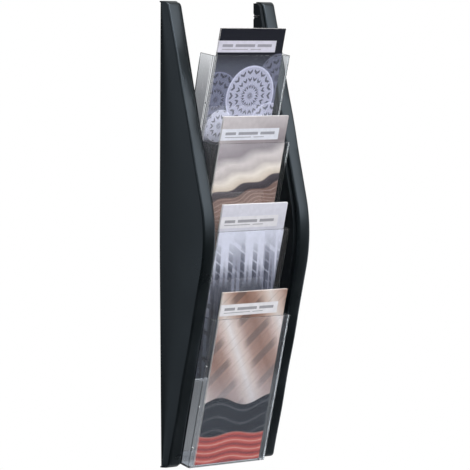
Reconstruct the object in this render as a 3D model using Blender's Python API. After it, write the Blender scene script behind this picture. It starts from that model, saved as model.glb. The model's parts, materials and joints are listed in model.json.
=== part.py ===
"""Wall leaflet rack with four clear pockets between two bowed black side columns.

Frame: +X right as seen from the front, the front faces -Y, +Z up. The wall is the plane Y = 0 and the
origin lies on it, midway between the columns and level with their bottom ends. Sections through a column
or a pocket are drawn as (out, up): out is the distance from the wall and up is the height. Metres.
"""

import math

import bmesh
import bpy
from mathutils import Matrix, Vector

MM = 0.001

# Leaflets, one third of A4, with the pile that stands in each pocket
LEAFLET_WIDTH = 99.0 * MM
LEAFLET_HEIGHT = 210.0 * MM
PILE_THICKNESS = 2.6 * MM
PILE_SHIFTS = (-3.2 * MM, 1.2 * MM, 0.0, -0.4 * MM)

# Pockets
TIERS = 4
TIER_PITCH = 101.0 * MM
LEAN = math.radians(14.4)
SIDE_PLAY = 7.8 * MM
POCKET_WALL = 2.0 * MM
POCKET_FLOOR = 2.4 * MM
FRONT_HEIGHT = 181.2 * MM
TOP_DEPTH = 24.4 * MM
BASE_DEPTH = 20.4 * MM
SIDE_DROP = 2.2 * MM
BACK_LIP = 12.0 * MM
POCKET_CORNER = 3.0 * MM
WALL_CLEARANCE = 2.4 * MM

# Small nicks in the front corners of a pocket, measured along the lean from the front's top edge
NICK_DROPS = (56.0 * MM, 105.5 * MM, 155.0 * MM)
NICK_HEIGHT = 1.8 * MM
NICK_DEPTH = 1.5 * MM

# Pegs that carry the pockets, measured in the same way
PEG_RADIUS = 2.0 * MM
PEG_LENGTH = 3.2 * MM
PEG_DEPTH = 18.2 * MM
PEG_DROPS = (70.0 * MM, 155.0 * MM)
PEG_FIT = 0.3 * MM

# Side columns
TOP_MARGIN = 63.0 * MM
# Height of the lowest pocket's front base edge, a little below the columns' ends
BOTTOM_MARGIN = -1.25 * MM
END_OUT = 12.4 * MM
BOW_RADIUS = 168.0 * MM
BAND_WIDTH = 17.6 * MM
COVER_WALL = 2.2 * MM
COVER_FLARE = 0.03
COVER_CORNER = 1.6 * MM
END_CORNER = 2.6 * MM
LIP_REACH = 1.4 * MM
LIP_HEIGHT = 1.6 * MM
LIP_OUT = 5.0 * MM
RETURN_DEPTH = 7.0 * MM
LEDGE_WIDTH = 4.0 * MM
LEDGE_RECESS = 2.8 * MM
MIDDLE_RECESS = 5.6 * MM
PANEL_WALL = 2.0 * MM
PANEL_END = 1.5 * MM
PANEL_CORNER = 0.6 * MM

# Running gaps
SIDE_GAP = 0.7 * MM
SEAM_GAP = 0.4 * MM
SEAT_GAP = 0.3 * MM

# Screws that join panel and cover, each in a boss of the cover
SCREW_HEIGHTS = (0.145, 0.497, 0.855)
SCREW_OUT = 9.5 * MM
SCREW_HEAD_RADIUS = 2.8 * MM
SCREW_HEAD_HEIGHT = 1.2 * MM
SCREW_SHANK_RADIUS = 1.45 * MM
SCREW_LENGTH = 12.0 * MM
SCREW_RECESS = 1.3 * MM
BOSS_RADIUS = 3.4 * MM
BOSS_GAP = 0.3 * MM

# Wall brackets and the slots that hook on their blades
BRACKET_DROP = 17.0 * MM
BRACKET_HEIGHT = 22.0 * MM
BRACKET_THICKNESS = 1.5 * MM
BRACKET_HOLE = 2.3 * MM
BLADE_REACH = 8.0 * MM
BLADE_WIDTH = 8.0 * MM
SLOT_DEPTH = 9.6 * MM
SLOT_GAP = 0.35 * MM
SLOT_FLARE = 2.4 * MM
SLOT_FLARE_DEPTH = 1.8 * MM

# Steps of the round shapes
BOW_STEPS = 18
ROUND_STEPS = 16

# Sizes that follow from those above
SIN, COS, TAN = math.sin(LEAN), math.cos(LEAN), math.tan(LEAN)
POCKET_HALF = LEAFLET_WIDTH / 2 + SIDE_PLAY + POCKET_WALL
PANEL_X = POCKET_HALF + SIDE_GAP
BAND_X = PANEL_X + LEDGE_WIDTH + SEAM_GAP
COVER_X = BAND_X + BAND_WIDTH
RACK_HEIGHT = BOTTOM_MARGIN + (TIERS - 1) * TIER_PITCH + FRONT_HEIGHT * COS + TOP_MARGIN
POCKET_OUT = WALL_CLEARANCE + BASE_DEPTH * COS
BRACKET_LIFTS = {"upper": RACK_HEIGHT - BRACKET_DROP, "lower": BRACKET_DROP}
SIDES = {"left": -1, "right": 1}


def clear_scene():
    """Empty the scene of every object it starts with."""
    for item in list(bpy.data.objects):
        bpy.data.objects.remove(item, do_unlink=True)


def make_collection(name):
    """A new collection linked to the scene."""
    group = bpy.data.collections.new(name)
    bpy.context.scene.collection.children.link(group)
    return group


def make_material(name, colour, roughness, metallic=0.0, alpha=1.0, transmission=0.0):
    """A Principled material with one plain finish."""
    material = bpy.data.materials.new(name)
    material.use_nodes = True
    shader = material.node_tree.nodes["Principled BSDF"]
    shader.inputs["Base Color"].default_value = (*colour, 1.0)
    shader.inputs["Roughness"].default_value = roughness
    shader.inputs["Metallic"].default_value = metallic
    shader.inputs["Alpha"].default_value = alpha
    shader.inputs["Transmission Weight"].default_value = transmission
    return material


def mesh_object(name, mesh, group, material=None):
    """An object that holds the mesh, in the given collection."""
    item = bpy.data.objects.new(name, mesh)
    group.objects.link(item)
    if material is not None:
        mesh.materials.clear()
        mesh.materials.append(material)
    return item


def slab(name, outline, low_x, high_x, group):
    """A flat outline of (out, up) points filled as a curve and thickened from low_x to high_x."""
    curve = bpy.data.curves.new(name, "CURVE")
    curve.dimensions = "2D"
    curve.fill_mode = "BOTH"
    curve.extrude = (high_x - low_x) / 2
    spline = curve.splines.new("POLY")
    spline.points.add(len(outline) - 1)
    for point, (out, up) in zip(spline.points, outline):
        point.co = (out, up, 0.0, 1.0)
    spline.use_cyclic_u = True
    flat = bpy.data.objects.new(name, curve)
    group.objects.link(flat)
    # The curve's own axes become out = -Y, up = +Z and its thickness lies along X
    flat.matrix_world = Matrix((
        (0.0, 0.0, -1.0, (low_x + high_x) / 2),
        (-1.0, 0.0, 0.0, 0.0),
        (0.0, 1.0, 0.0, 0.0),
        (0.0, 0.0, 0.0, 1.0)))
    bpy.context.view_layer.update()
    evaluated = flat.evaluated_get(bpy.context.evaluated_depsgraph_get())
    mesh = bpy.data.meshes.new_from_object(evaluated)
    mesh.transform(flat.matrix_world)
    bpy.data.objects.remove(flat, do_unlink=True)
    bpy.data.curves.remove(curve)
    shape = bmesh.new()
    shape.from_mesh(mesh)
    bmesh.ops.remove_doubles(shape, verts=shape.verts, dist=0.00001)
    bmesh.ops.recalc_face_normals(shape, faces=shape.faces)
    shape.to_mesh(mesh)
    shape.free()
    return mesh_object(name, mesh, group)


def box(name, low, high, group):
    """A box between two corners."""
    mesh = bpy.data.meshes.new(name)
    shape = bmesh.new()
    bmesh.ops.create_cube(shape, size=1.0)
    size = Vector(high) - Vector(low)
    bmesh.ops.scale(shape, verts=shape.verts, vec=size)
    bmesh.ops.translate(shape, verts=shape.verts, vec=(Vector(low) + Vector(high)) / 2)
    shape.to_mesh(mesh)
    shape.free()
    return mesh_object(name, mesh, group)


def rod(name, radius, low_x, high_x, out, up, group, end_radius=None):
    """A round rod along X, or a cone when it has an end radius, centred at (out, up)."""
    mesh = bpy.data.meshes.new(name)
    shape = bmesh.new()
    bmesh.ops.create_cone(shape, cap_ends=True, segments=ROUND_STEPS, radius1=radius,
                          radius2=radius if end_radius is None else end_radius, depth=high_x - low_x)
    bmesh.ops.rotate(shape, verts=shape.verts, matrix=Matrix.Rotation(math.pi / 2, 3, "Y"))
    bmesh.ops.translate(shape, verts=shape.verts, vec=((low_x + high_x) / 2, -out, up))
    shape.to_mesh(mesh)
    shape.free()
    return mesh_object(name, mesh, group)


def bevel_edges(item, chosen, width, steps):
    """Round the edges of the item's mesh that the test accepts."""
    shape = bmesh.new()
    shape.from_mesh(item.data)
    edges = [edge for edge in shape.edges if chosen(*(vert.co for vert in edge.verts))]
    bmesh.ops.bevel(shape, geom=edges, offset=width, offset_type="OFFSET", segments=steps,
                    profile=0.5, affect="EDGES", clamp_overlap=True)
    shape.to_mesh(item.data)
    shape.free()


def carve(item, tool, operation="DIFFERENCE", solver="EXACT"):
    """Apply one Boolean to the item and put the tool away."""
    modifier = item.modifiers.new("carve", "BOOLEAN")
    modifier.operation = operation
    modifier.solver = solver
    modifier.object = tool
    bpy.context.view_layer.update()
    evaluated = item.evaluated_get(bpy.context.evaluated_depsgraph_get())
    mesh = bpy.data.meshes.new_from_object(evaluated)
    old = item.data
    item.modifiers.clear()
    item.data = mesh
    mesh.name = item.name
    bpy.data.meshes.remove(old)
    spare = tool.data
    bpy.data.objects.remove(tool, do_unlink=True)
    bpy.data.meshes.remove(spare)


def finish(item, material, angle=35.0):
    """Give a finished piece its material and smooth its round faces."""
    item.data.materials.clear()
    item.data.materials.append(material)
    item.data.shade_smooth()
    item.data.set_sharp_from_angle(angle=math.radians(angle))


def front_out(up, inset=0.0):
    """How far a column's front stands out from the wall at a height, moved back by inset.

    The front is two straight lines at the lean angle, joined at mid-height by an arc of the bow radius.
    """
    height = abs(up - RACK_HEIGHT / 2)
    arc_half = BOW_RADIUS * SIN
    corner = END_OUT + RACK_HEIGHT / 2 * TAN
    if height >= arc_half:
        out = corner - height * TAN
    else:
        out = corner - BOW_RADIUS / COS + math.sqrt(BOW_RADIUS ** 2 - height ** 2)
    return out - inset / COS


def ledge_recess(up):
    """How far the inner panel's ledge lies behind the cover's band at a height, more toward mid-height."""
    return LEDGE_RECESS + (MIDDLE_RECESS - LEDGE_RECESS) * (1.0 - (2 * up / RACK_HEIGHT - 1.0) ** 2)


def bow_outline(low, high, inset, rear, recess=None):
    """The (out, up) outline of a column between two heights, with its front moved back by inset.

    A recess, as a function of height, moves the front back further.
    """
    middle = RACK_HEIGHT / 2
    arc_half = BOW_RADIUS * SIN
    heights = [low]
    for step in range(BOW_STEPS + 1):
        heights.append(middle + arc_half * math.sin(math.pi / 2 * (2 * step / BOW_STEPS - 1)))
    heights.append(high)
    outline = [(rear, low)]
    outline += [(front_out(up, inset + (recess(up) if recess else 0.0)), up) for up in heights]
    outline.append((rear, high))
    return outline


def flare_cover(item):
    """Lean a right cover's outer face away from the pockets, more so toward the wall."""
    for vert in item.data.vertices:
        if vert.co.x > BAND_X + BAND_WIDTH / 2:
            vert.co.x += COVER_FLARE * (front_out(vert.co.z) + vert.co.y)


def pocket_point(drop, depth, tier_up):
    """A point of a pocket's section as (out, up), from its front's base up the lean and then back."""
    return POCKET_OUT + drop * SIN - depth * COS, tier_up + drop * COS + depth * SIN


def peg_points(tier_up):
    """The centres of a pocket's pegs."""
    return [pocket_point(FRONT_HEIGHT - drop, PEG_DEPTH, tier_up) for drop in PEG_DROPS]


def tier_heights():
    """The height of each pocket's front base edge, from the top pocket down."""
    return [BOTTOM_MARGIN + (TIERS - 1 - tier) * TIER_PITCH for tier in range(TIERS)]


def screw_heights():
    """The heights of the cover screws, spread over the column."""
    return [share * RACK_HEIGHT for share in SCREW_HEIGHTS]


def make_cover(group):
    """The right cover: a bowed shell, open to the wall and to the inner panel."""
    cover = slab("cover", bow_outline(0.0, RACK_HEIGHT, 0.0, 0.0), BAND_X, COVER_X, group)
    hollow = slab("hollow", bow_outline(COVER_WALL, RACK_HEIGHT - COVER_WALL, COVER_WALL, -COVER_WALL),
                  BAND_X + COVER_WALL, COVER_X - COVER_WALL, group)
    flare_cover(cover)
    flare_cover(hollow)

    def outer_front(first, second):
        return all(point.x > BAND_X + BAND_WIDTH / 2 and -point.y > front_out(point.z) - MM / 10
                   for point in (first, second))

    def end_front(first, second):
        return (abs(first.x - second.x) > BAND_WIDTH / 2 and -first.y > END_OUT / 2
                and abs(first.z - RACK_HEIGHT / 2) > RACK_HEIGHT / 2 - MM / 10)

    bevel_edges(cover, end_front, END_CORNER, 3)
    bevel_edges(cover, outer_front, COVER_CORNER, 3)
    carve(cover, hollow)
    # The side toward the pockets stays open behind the return lip of the band
    doorway = slab("doorway", bow_outline(COVER_WALL, RACK_HEIGHT - COVER_WALL, RETURN_DEPTH, -COVER_WALL),
                   BAND_X - COVER_WALL, BAND_X + 2 * COVER_WALL, group)
    carve(cover, doorway)
    for up in screw_heights():
        face = PANEL_X + PANEL_WALL + SCREW_RECESS + BOSS_GAP
        boss = rod("boss", BOSS_RADIUS, face, COVER_X - COVER_WALL / 2, SCREW_OUT, up, group)
        carve(cover, boss, "UNION")
        bore = rod("bore", SCREW_SHANK_RADIUS + SEAT_GAP, face - COVER_WALL,
                   PANEL_X + SCREW_LENGTH + SEAM_GAP, SCREW_OUT, up, group)
        carve(cover, bore)
    for end, sign in ((0.0, 1), (RACK_HEIGHT, -1)):
        side = COVER_X - COVER_WALL / 2
        tip = COVER_X + COVER_FLARE * END_OUT + LIP_REACH
        lip = box("lip", (side, -LIP_OUT, min(end, end + sign * LIP_HEIGHT)),
                  (tip, 0.0, max(end, end + sign * LIP_HEIGHT)), group)
        for vert in lip.data.vertices:
            if vert.co.x > COVER_X and -vert.co.y > LIP_OUT / 2:
                vert.co.x = side + COVER_WALL / 4
        carve(cover, lip, "UNION")
    return cover


def make_inner_panel(group):
    """The right inner panel: a plate beside the pockets with a rim that turns into the cover."""
    low, high = PANEL_END, RACK_HEIGHT - PANEL_END
    panel = slab("panel", bow_outline(low, high, 0.0, 0.0, ledge_recess), PANEL_X, BAND_X - SEAM_GAP, group)
    hollow = slab("hollow", bow_outline(low + PANEL_WALL, high - PANEL_WALL, PANEL_WALL, -PANEL_WALL,
                                        ledge_recess), PANEL_X + PANEL_WALL, BAND_X + PANEL_WALL, group)

    def ledge_edge(first, second):
        return all(abs(point.x - PANEL_X) < MM / 10
                   and -point.y > front_out(point.z, ledge_recess(point.z)) - MM / 10
                   for point in (first, second))

    def cut(tool, operation="DIFFERENCE"):
        # Many cuts share the plate's two long faces, which the exact solver can leave open
        carve(panel, tool, operation, "MANIFOLD")

    bevel_edges(panel, ledge_edge, PANEL_CORNER, 2)
    cut(hollow)
    half_slot = BRACKET_THICKNESS / 2 + SLOT_GAP
    for up in BRACKET_LIFTS.values():
        notch = ((-MM, up - half_slot - SLOT_FLARE), (0.0, up - half_slot - SLOT_FLARE),
                 (SLOT_FLARE_DEPTH, up - half_slot), (SLOT_DEPTH, up - half_slot),
                 (SLOT_DEPTH, up + half_slot), (SLOT_FLARE_DEPTH, up + half_slot),
                 (0.0, up + half_slot + SLOT_FLARE), (-MM, up + half_slot + SLOT_FLARE))
        cut(slab("notch", notch, PANEL_X - MM, BAND_X + MM, group))
    for tier_up in tier_heights():
        for out, up in peg_points(tier_up):
            cut(rod("hole", PEG_RADIUS + PEG_FIT, PANEL_X - MM, BAND_X + MM, out, up, group))
    for up in screw_heights():
        # A cup stands on the plate's inner side, so the screw head lies under the plate's face
        cup = rod("cup", SCREW_HEAD_RADIUS + PANEL_WALL, PANEL_X + PANEL_WALL / 2,
                  PANEL_X + PANEL_WALL + SCREW_RECESS, SCREW_OUT, up, group)
        cut(cup, "UNION")
        cut(rod("sink", SCREW_HEAD_RADIUS + SEAT_GAP, PANEL_X - MM,
                PANEL_X + SCREW_RECESS + SEAT_GAP, SCREW_OUT, up, group))
        cut(rod("hole", SCREW_SHANK_RADIUS + SEAT_GAP, PANEL_X, BAND_X + MM, SCREW_OUT, up, group))
    return panel


def make_cover_screw(up, group):
    """One right self-tapping screw with a cross recess, seated in the panel's cup."""
    start = PANEL_X + SCREW_RECESS - SCREW_HEAD_HEIGHT
    neck = PANEL_X + SCREW_RECESS
    end = PANEL_X + SCREW_LENGTH
    screw = rod("head", SCREW_HEAD_RADIUS - SCREW_HEAD_HEIGHT / 3, start, neck, SCREW_OUT, up, group,
                SCREW_HEAD_RADIUS)
    carve(screw, rod("shank", SCREW_SHANK_RADIUS, neck - SCREW_HEAD_HEIGHT / 3, end - SCREW_SHANK_RADIUS,
                     SCREW_OUT, up, group), "UNION")
    carve(screw, rod("tip", SCREW_SHANK_RADIUS, end - SCREW_SHANK_RADIUS - MM / 10, end, SCREW_OUT, up, group,
                     SCREW_SHANK_RADIUS / 3), "UNION")
    long, short = SCREW_HEAD_RADIUS * 0.68, SCREW_HEAD_RADIUS * 0.14
    for half_out, half_up in ((short, long), (long, short)):
        recess = box("recess", (start - MM, -SCREW_OUT - half_out, up - half_up),
                     (start + SCREW_HEAD_HEIGHT * 0.6, -SCREW_OUT + half_out, up + half_up), group)
        carve(screw, recess)
    return screw


def make_bracket(lift, group):
    """A right wall bracket: a plate on the wall with a blade bent out of it into the panel's slot."""
    half = BRACKET_THICKNESS / 2
    plate_x = BAND_X + COVER_WALL
    end_x = COVER_X - COVER_WALL - SEAM_GAP
    centre = lift + math.copysign(BRACKET_HEIGHT / 2 - half, RACK_HEIGHT / 2 - lift)
    plate = box("plate", (plate_x, -BRACKET_THICKNESS, centre - BRACKET_HEIGHT / 2),
                (end_x, 0.0, centre + BRACKET_HEIGHT / 2), group)
    blade = box("blade", (PANEL_X + PANEL_WALL / 4, -BLADE_REACH, lift - half),
                (plate_x + BLADE_WIDTH, 0.0, lift + half), group)
    carve(plate, blade, "UNION")
    hole = rod("hole", BRACKET_HOLE, -BRACKET_THICKNESS * 2, BRACKET_THICKNESS * 2, 0.0, 0.0, group)
    hole.data.transform(Matrix.Translation(((plate_x + end_x) / 2, 0.0, centre))
                        @ Matrix.Rotation(math.pi / 2, 4, "Z"))
    carve(plate, hole)
    return plate


def make_pocket(tier_up, group):
    """One clear pocket: front with nicked corners, two sides, floor, low back lip and four pegs."""
    front_top = pocket_point(FRONT_HEIGHT, 0.0, tier_up)
    back_top = pocket_point(FRONT_HEIGHT - SIDE_DROP, TOP_DEPTH, tier_up)
    outline = [pocket_point(0.0, 0.0, tier_up), front_top, back_top, pocket_point(0.0, BASE_DEPTH, tier_up)]
    pocket = slab("pocket", outline, -POCKET_HALF, POCKET_HALF, group)
    slope = (TOP_DEPTH - BASE_DEPTH) / (FRONT_HEIGHT - SIDE_DROP)
    over = FRONT_HEIGHT + POCKET_CORNER
    lip_top = POCKET_FLOOR + BACK_LIP
    space = [pocket_point(POCKET_FLOOR, POCKET_WALL, tier_up), pocket_point(over, POCKET_WALL, tier_up),
             pocket_point(over, TOP_DEPTH + POCKET_WALL, tier_up),
             pocket_point(lip_top, TOP_DEPTH + POCKET_WALL, tier_up),
             pocket_point(lip_top, BASE_DEPTH - POCKET_WALL + slope * lip_top, tier_up),
             pocket_point(POCKET_FLOOR, BASE_DEPTH - POCKET_WALL + slope * POCKET_FLOOR, tier_up)]
    inside = POCKET_HALF - POCKET_WALL
    cavity = slab("cavity", space, -inside, inside, group)

    def along_front(depth):
        def test(first, second):
            # Depth behind the front's plane of both ends of the edge
            depths = [(POCKET_OUT + point.y) * COS + (point.z - tier_up) * SIN for point in (first, second)]
            return (all(abs(value - depth) < MM / 10 for value in depths)
                    and abs(first.x - second.x) < MM / 10)
        return test

    bevel_edges(pocket, along_front(0.0), POCKET_CORNER, 4)
    bevel_edges(cavity, along_front(POCKET_WALL), POCKET_CORNER - POCKET_WALL, 3)
    carve(pocket, cavity)
    for side in SIDES.values():
        for drop in NICK_DROPS:
            low, high = (FRONT_HEIGHT - drop + step * NICK_HEIGHT / 2 for step in (-1, 1))
            nick = [pocket_point(low, -MM, tier_up), pocket_point(high, -MM, tier_up),
                    pocket_point(high, NICK_DEPTH, tier_up), pocket_point(low, NICK_DEPTH, tier_up)]
            ends = sorted((side * (POCKET_HALF - NICK_DEPTH), side * (POCKET_HALF + MM)))
            carve(pocket, slab("nick", nick, ends[0], ends[1], group))
        for out, up in peg_points(tier_up):
            ends = sorted((side * (POCKET_HALF - POCKET_WALL / 2), side * (POCKET_HALF + PEG_LENGTH)))
            carve(pocket, rod("peg", PEG_RADIUS, ends[0], ends[1], out, up, group), "UNION")
    return pocket


def make_leaflets(tier_up, shift, group):
    """The pile of leaflets in one pocket, standing on its floor against its front."""
    low = POCKET_FLOOR + SEAT_GAP
    near = POCKET_WALL + SEAT_GAP
    far = near + PILE_THICKNESS
    outline = [pocket_point(low, near, tier_up), pocket_point(low + LEAFLET_HEIGHT, near, tier_up),
               pocket_point(low + LEAFLET_HEIGHT, far, tier_up), pocket_point(low, far, tier_up)]
    return slab("pile", outline, shift - LEAFLET_WIDTH / 2, shift + LEAFLET_WIDTH / 2, group)


def mirror_copy(item, group):
    """The same piece for the other side, mirrored across the middle plane with its faces turned back out."""
    mesh = item.data.copy()
    mesh.transform(Matrix.Scale(-1.0, 4, (1.0, 0.0, 0.0)))
    mesh.flip_normals()
    return mesh_object(item.name + "_mirrored", mesh, group)


def main():
    """Build every piece of the rack."""
    clear_scene()
    rack = make_collection("leaflet_rack")
    black = make_material("black_moulding", (0.018, 0.020, 0.023), 0.42)
    panel_black = make_material("black_panel", (0.012, 0.013, 0.014), 0.5)
    clear = make_material("clear_moulding", (0.80, 0.83, 0.85), 0.06, alpha=0.35, transmission=0.9)
    steel = make_material("zinc_plated_steel", (0.55, 0.56, 0.57), 0.35, metallic=1.0)
    papers = [make_material(f"printed_paper_{number + 1}", colour, 0.38)
              for number, colour in enumerate(((0.22, 0.21, 0.30), (0.42, 0.36, 0.36),
                                               (0.38, 0.38, 0.45), (0.42, 0.24, 0.18)))]

    right_pieces = [("outer_cover", make_cover(rack), black),
                    ("inner_panel", make_inner_panel(rack), panel_black)]
    right_pieces += [(f"cover_screw_{number + 1}", make_cover_screw(up, rack), steel)
                     for number, up in enumerate(screw_heights())]
    for piece, item, material in right_pieces:
        twin = mirror_copy(item, rack)
        for side, solid in (("right", item), ("left", twin)):
            solid.name = f"{side}_{piece}"
            finish(solid, material)
    for place, lift in BRACKET_LIFTS.items():
        item = make_bracket(lift, rack)
        twin = mirror_copy(item, rack)
        for side, solid in (("right", item), ("left", twin)):
            solid.name = f"wall_bracket_{place}_{side}"
            finish(solid, steel)
    for tier, tier_up in enumerate(tier_heights()):
        pocket = make_pocket(tier_up, rack)
        pocket.name = f"pocket_{tier + 1}"
        finish(pocket, clear)
        pile = make_leaflets(tier_up, PILE_SHIFTS[tier], rack)
        pile.name = f"leaflets_{tier + 1}"
        finish(pile, papers[tier])


main()
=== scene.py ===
"""Looks of the wall leaflet rack: two bowed black columns, four clear pockets and their leaflets.

Frame: +X right as seen from the front, the front faces -Y, +Z up, and the wall is the plane Y = 0. In names
and comments, out is the distance from the wall (so Y is -out) and up is the height. Metres.
"""

import json
import logging
import math
import random
from dataclasses import dataclass, field
from enum import Enum
from typing import Callable, Iterable, Optional, Sequence, Union

import bmesh
import bpy
from mathutils import Matrix, Vector

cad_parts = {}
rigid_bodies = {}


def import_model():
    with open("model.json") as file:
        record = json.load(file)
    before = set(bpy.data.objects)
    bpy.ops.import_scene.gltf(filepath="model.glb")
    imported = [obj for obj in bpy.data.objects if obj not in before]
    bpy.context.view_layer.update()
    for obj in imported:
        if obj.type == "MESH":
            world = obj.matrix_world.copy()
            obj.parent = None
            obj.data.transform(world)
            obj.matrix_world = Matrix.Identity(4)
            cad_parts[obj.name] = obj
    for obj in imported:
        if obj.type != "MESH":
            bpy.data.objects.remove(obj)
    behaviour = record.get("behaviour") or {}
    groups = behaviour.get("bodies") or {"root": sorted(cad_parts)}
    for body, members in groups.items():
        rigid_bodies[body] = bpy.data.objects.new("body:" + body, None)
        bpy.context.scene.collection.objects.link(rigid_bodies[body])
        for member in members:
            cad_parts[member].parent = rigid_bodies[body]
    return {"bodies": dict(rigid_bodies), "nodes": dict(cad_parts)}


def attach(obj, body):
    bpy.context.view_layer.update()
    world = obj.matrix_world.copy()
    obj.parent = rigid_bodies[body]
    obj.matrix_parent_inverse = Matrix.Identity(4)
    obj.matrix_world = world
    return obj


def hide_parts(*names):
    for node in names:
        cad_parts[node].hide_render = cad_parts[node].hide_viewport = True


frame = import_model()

LOG = logging.getLogger("leaflet_rack")
MM = 0.001

Mesh = bmesh.types.BMesh
Vert = bmesh.types.BMVert
Edge = bmesh.types.BMEdge
Material = bpy.types.Material
Socket = bpy.types.NodeSocket
Number = Union[float, Socket]
Colour = tuple[float, float, float]

# Sizes of the rack, as in the solids
LEAFLET_WIDTH = 99.0 * MM
LEAFLET_HEIGHT = 210.0 * MM
PILE_THICKNESS = 2.6 * MM
PILE_SHIFTS = (-3.2 * MM, 1.2 * MM, 0.0, -0.4 * MM)
TIERS = 4
TIER_PITCH = 101.0 * MM
LEAN = math.radians(14.4)
SIDE_PLAY = 7.8 * MM
POCKET_WALL = 2.0 * MM
POCKET_FLOOR = 2.4 * MM
FRONT_HEIGHT = 181.2 * MM
TOP_DEPTH = 24.4 * MM
BASE_DEPTH = 20.4 * MM
SIDE_DROP = 2.2 * MM
BACK_LIP = 12.0 * MM
POCKET_CORNER = 3.0 * MM
WALL_CLEARANCE = 2.4 * MM
TOP_MARGIN = 63.0 * MM
BOTTOM_MARGIN = -1.25 * MM
END_OUT = 12.4 * MM
BOW_RADIUS = 168.0 * MM
BAND_WIDTH = 17.6 * MM
LEDGE_WIDTH = 4.0 * MM
SIDE_GAP = 0.7 * MM
SEAM_GAP = 0.4 * MM
SEAT_GAP = 0.3 * MM
PANEL_WALL = 2.0 * MM
PANEL_END = 1.5 * MM

# Sizes that follow from them
SIN, COS, TAN = math.sin(LEAN), math.cos(LEAN), math.tan(LEAN)
POCKET_HALF = LEAFLET_WIDTH / 2 + SIDE_PLAY + POCKET_WALL
PANEL_X = POCKET_HALF + SIDE_GAP
BAND_X = PANEL_X + LEDGE_WIDTH + SEAM_GAP
COVER_X = BAND_X + BAND_WIDTH
RACK_HEIGHT = BOTTOM_MARGIN + (TIERS - 1) * TIER_PITCH + FRONT_HEIGHT * COS + TOP_MARGIN
POCKET_OUT = WALL_CLEARANCE + BASE_DEPTH * COS
TIER_HEIGHTS = tuple(BOTTOM_MARGIN + (TIERS - 1 - tier) * TIER_PITCH for tier in range(TIERS))

# Finer shaping, in the looks only
END_ROUND = 5.4 * MM
END_SHARES = (0.06, 0.16, 0.32, 0.54, 0.78)
STRAIGHT_SHARES = (0.25, 0.5, 0.75)
SOFT_LIMIT = 40.0
SOFT_STEPS = 2
FLAT_WEIGHT = 90
ROD_STEPS = 28
FACING = 0.7
TOUCH = 0.01 * MM


class Side(Enum):
    """The two columns, with the sign of their X."""

    LEFT = -1
    RIGHT = 1

    @property
    def word(self) -> str:
        """The side's name as the nodes spell it."""
        return self.name.lower()


class Motif(Enum):
    """The generic designs that the leaflets are printed with."""

    DISCS = "discs"
    STRATA = "strata"
    BARS = "bars"
    DUNES = "dunes"


def front_out(up: float) -> float:
    """How far a column's front stands out from the wall at a height.

    Args:
        up: Height above the column's bottom end.

    Returns:
        The distance from the wall, along two straight lines joined at mid-height by an arc.
    """
    height = abs(up - RACK_HEIGHT / 2)
    corner = END_OUT + RACK_HEIGHT / 2 * TAN
    if height >= BOW_RADIUS * SIN:
        return corner - height * TAN
    return corner - BOW_RADIUS / COS + math.sqrt(BOW_RADIUS ** 2 - height ** 2)


def bow_heights(steps: int) -> list[float]:
    """The heights at which a column gets a row of vertices.

    Args:
        steps: Rows over the arc at mid-height.

    Returns:
        The rising heights, evenly spread by angle over the arc.
    """
    middle, arc_half = RACK_HEIGHT / 2, BOW_RADIUS * SIN
    arc = [middle + BOW_RADIUS * math.sin(LEAN * (2 * step / steps - 1)) for step in range(steps + 1)]
    straight = [(middle - arc_half) * share for share in STRAIGHT_SHARES]
    return [0.0, *straight, *arc, *(RACK_HEIGHT - up for up in reversed(straight)), RACK_HEIGHT]


def crown(share: float) -> float:
    """The height of a rounded crown, 1 in the middle, at a share of its width."""
    return 4.0 * share * (1.0 - share)


def end_levels(inset: float = 0.0) -> list[float]:
    """The heights of the rows that shape a column's round ends.

    Args:
        inset: How far the piece's ends lie inside the rack's ends.

    Returns:
        The heights, in pairs from the two ends inward.
    """
    gaps = [inset + END_ROUND * share for share in END_SHARES]
    return [up for gap in gaps for up in (gap, RACK_HEIGHT - gap)]


def end_drop(up: float, inset: float = 0.0) -> float:
    """How far the round end of a column's piece sets its front back.

    Args:
        up: Height.
        inset: How far the piece's ends lie inside the rack's ends.

    Returns:
        The distance.
    """
    left = END_ROUND - min(up, RACK_HEIGHT - up) + inset
    return END_ROUND - math.sqrt(max(0.0, END_ROUND ** 2 - left ** 2)) if left > 0.0 else 0.0


def pocket_place(tier_up: float) -> Matrix:
    """The matrix from a pocket's frame (x, depth behind its front, height up its front) to the rack's."""
    return Matrix.Translation((0.0, -POCKET_OUT, tier_up)) @ Matrix.Rotation(LEAN, 4, "X")


# Mesh helpers


def link_new(name: str, data: bpy.types.ID) -> bpy.types.Object:
    """Makes a scene object of a mesh, light or camera.

    Args:
        name: Name of the object.
        data: What it shows.

    Returns:
        The object, at the origin.
    """
    item = bpy.data.objects.new(name, data)
    bpy.context.scene.collection.objects.link(item)
    return item


def to_object(name: str, shape: Mesh, materials: Sequence[Material],
              sharp_angle: float = 38.0) -> bpy.types.Object:
    """Turns a bmesh into a linked object at the origin, smooth with sharp edges kept, and frees it.

    Args:
        name: Name of the object and its mesh.
        shape: The finished mesh.
        materials: The slots' materials, in order.
        sharp_angle: Edges steeper than this stay sharp, in degrees.

    Returns:
        The new object.
    """
    mesh = bpy.data.meshes.new(name)
    shape.to_mesh(mesh)
    shape.free()
    mesh.shade_smooth()
    mesh.set_sharp_from_angle(angle=math.radians(sharp_angle))
    for material in materials:
        mesh.materials.append(material)
    return link_new(name, mesh)


def even_normals(item: bpy.types.Object) -> None:
    """Adds a live modifier that shades the flat faces of a piece evenly.

    Args:
        item: The piece.
    """
    flatter = item.modifiers.new("flat_faces", "WEIGHTED_NORMAL")
    flatter.keep_sharp = True
    flatter.weight = FLAT_WEIGHT


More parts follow.
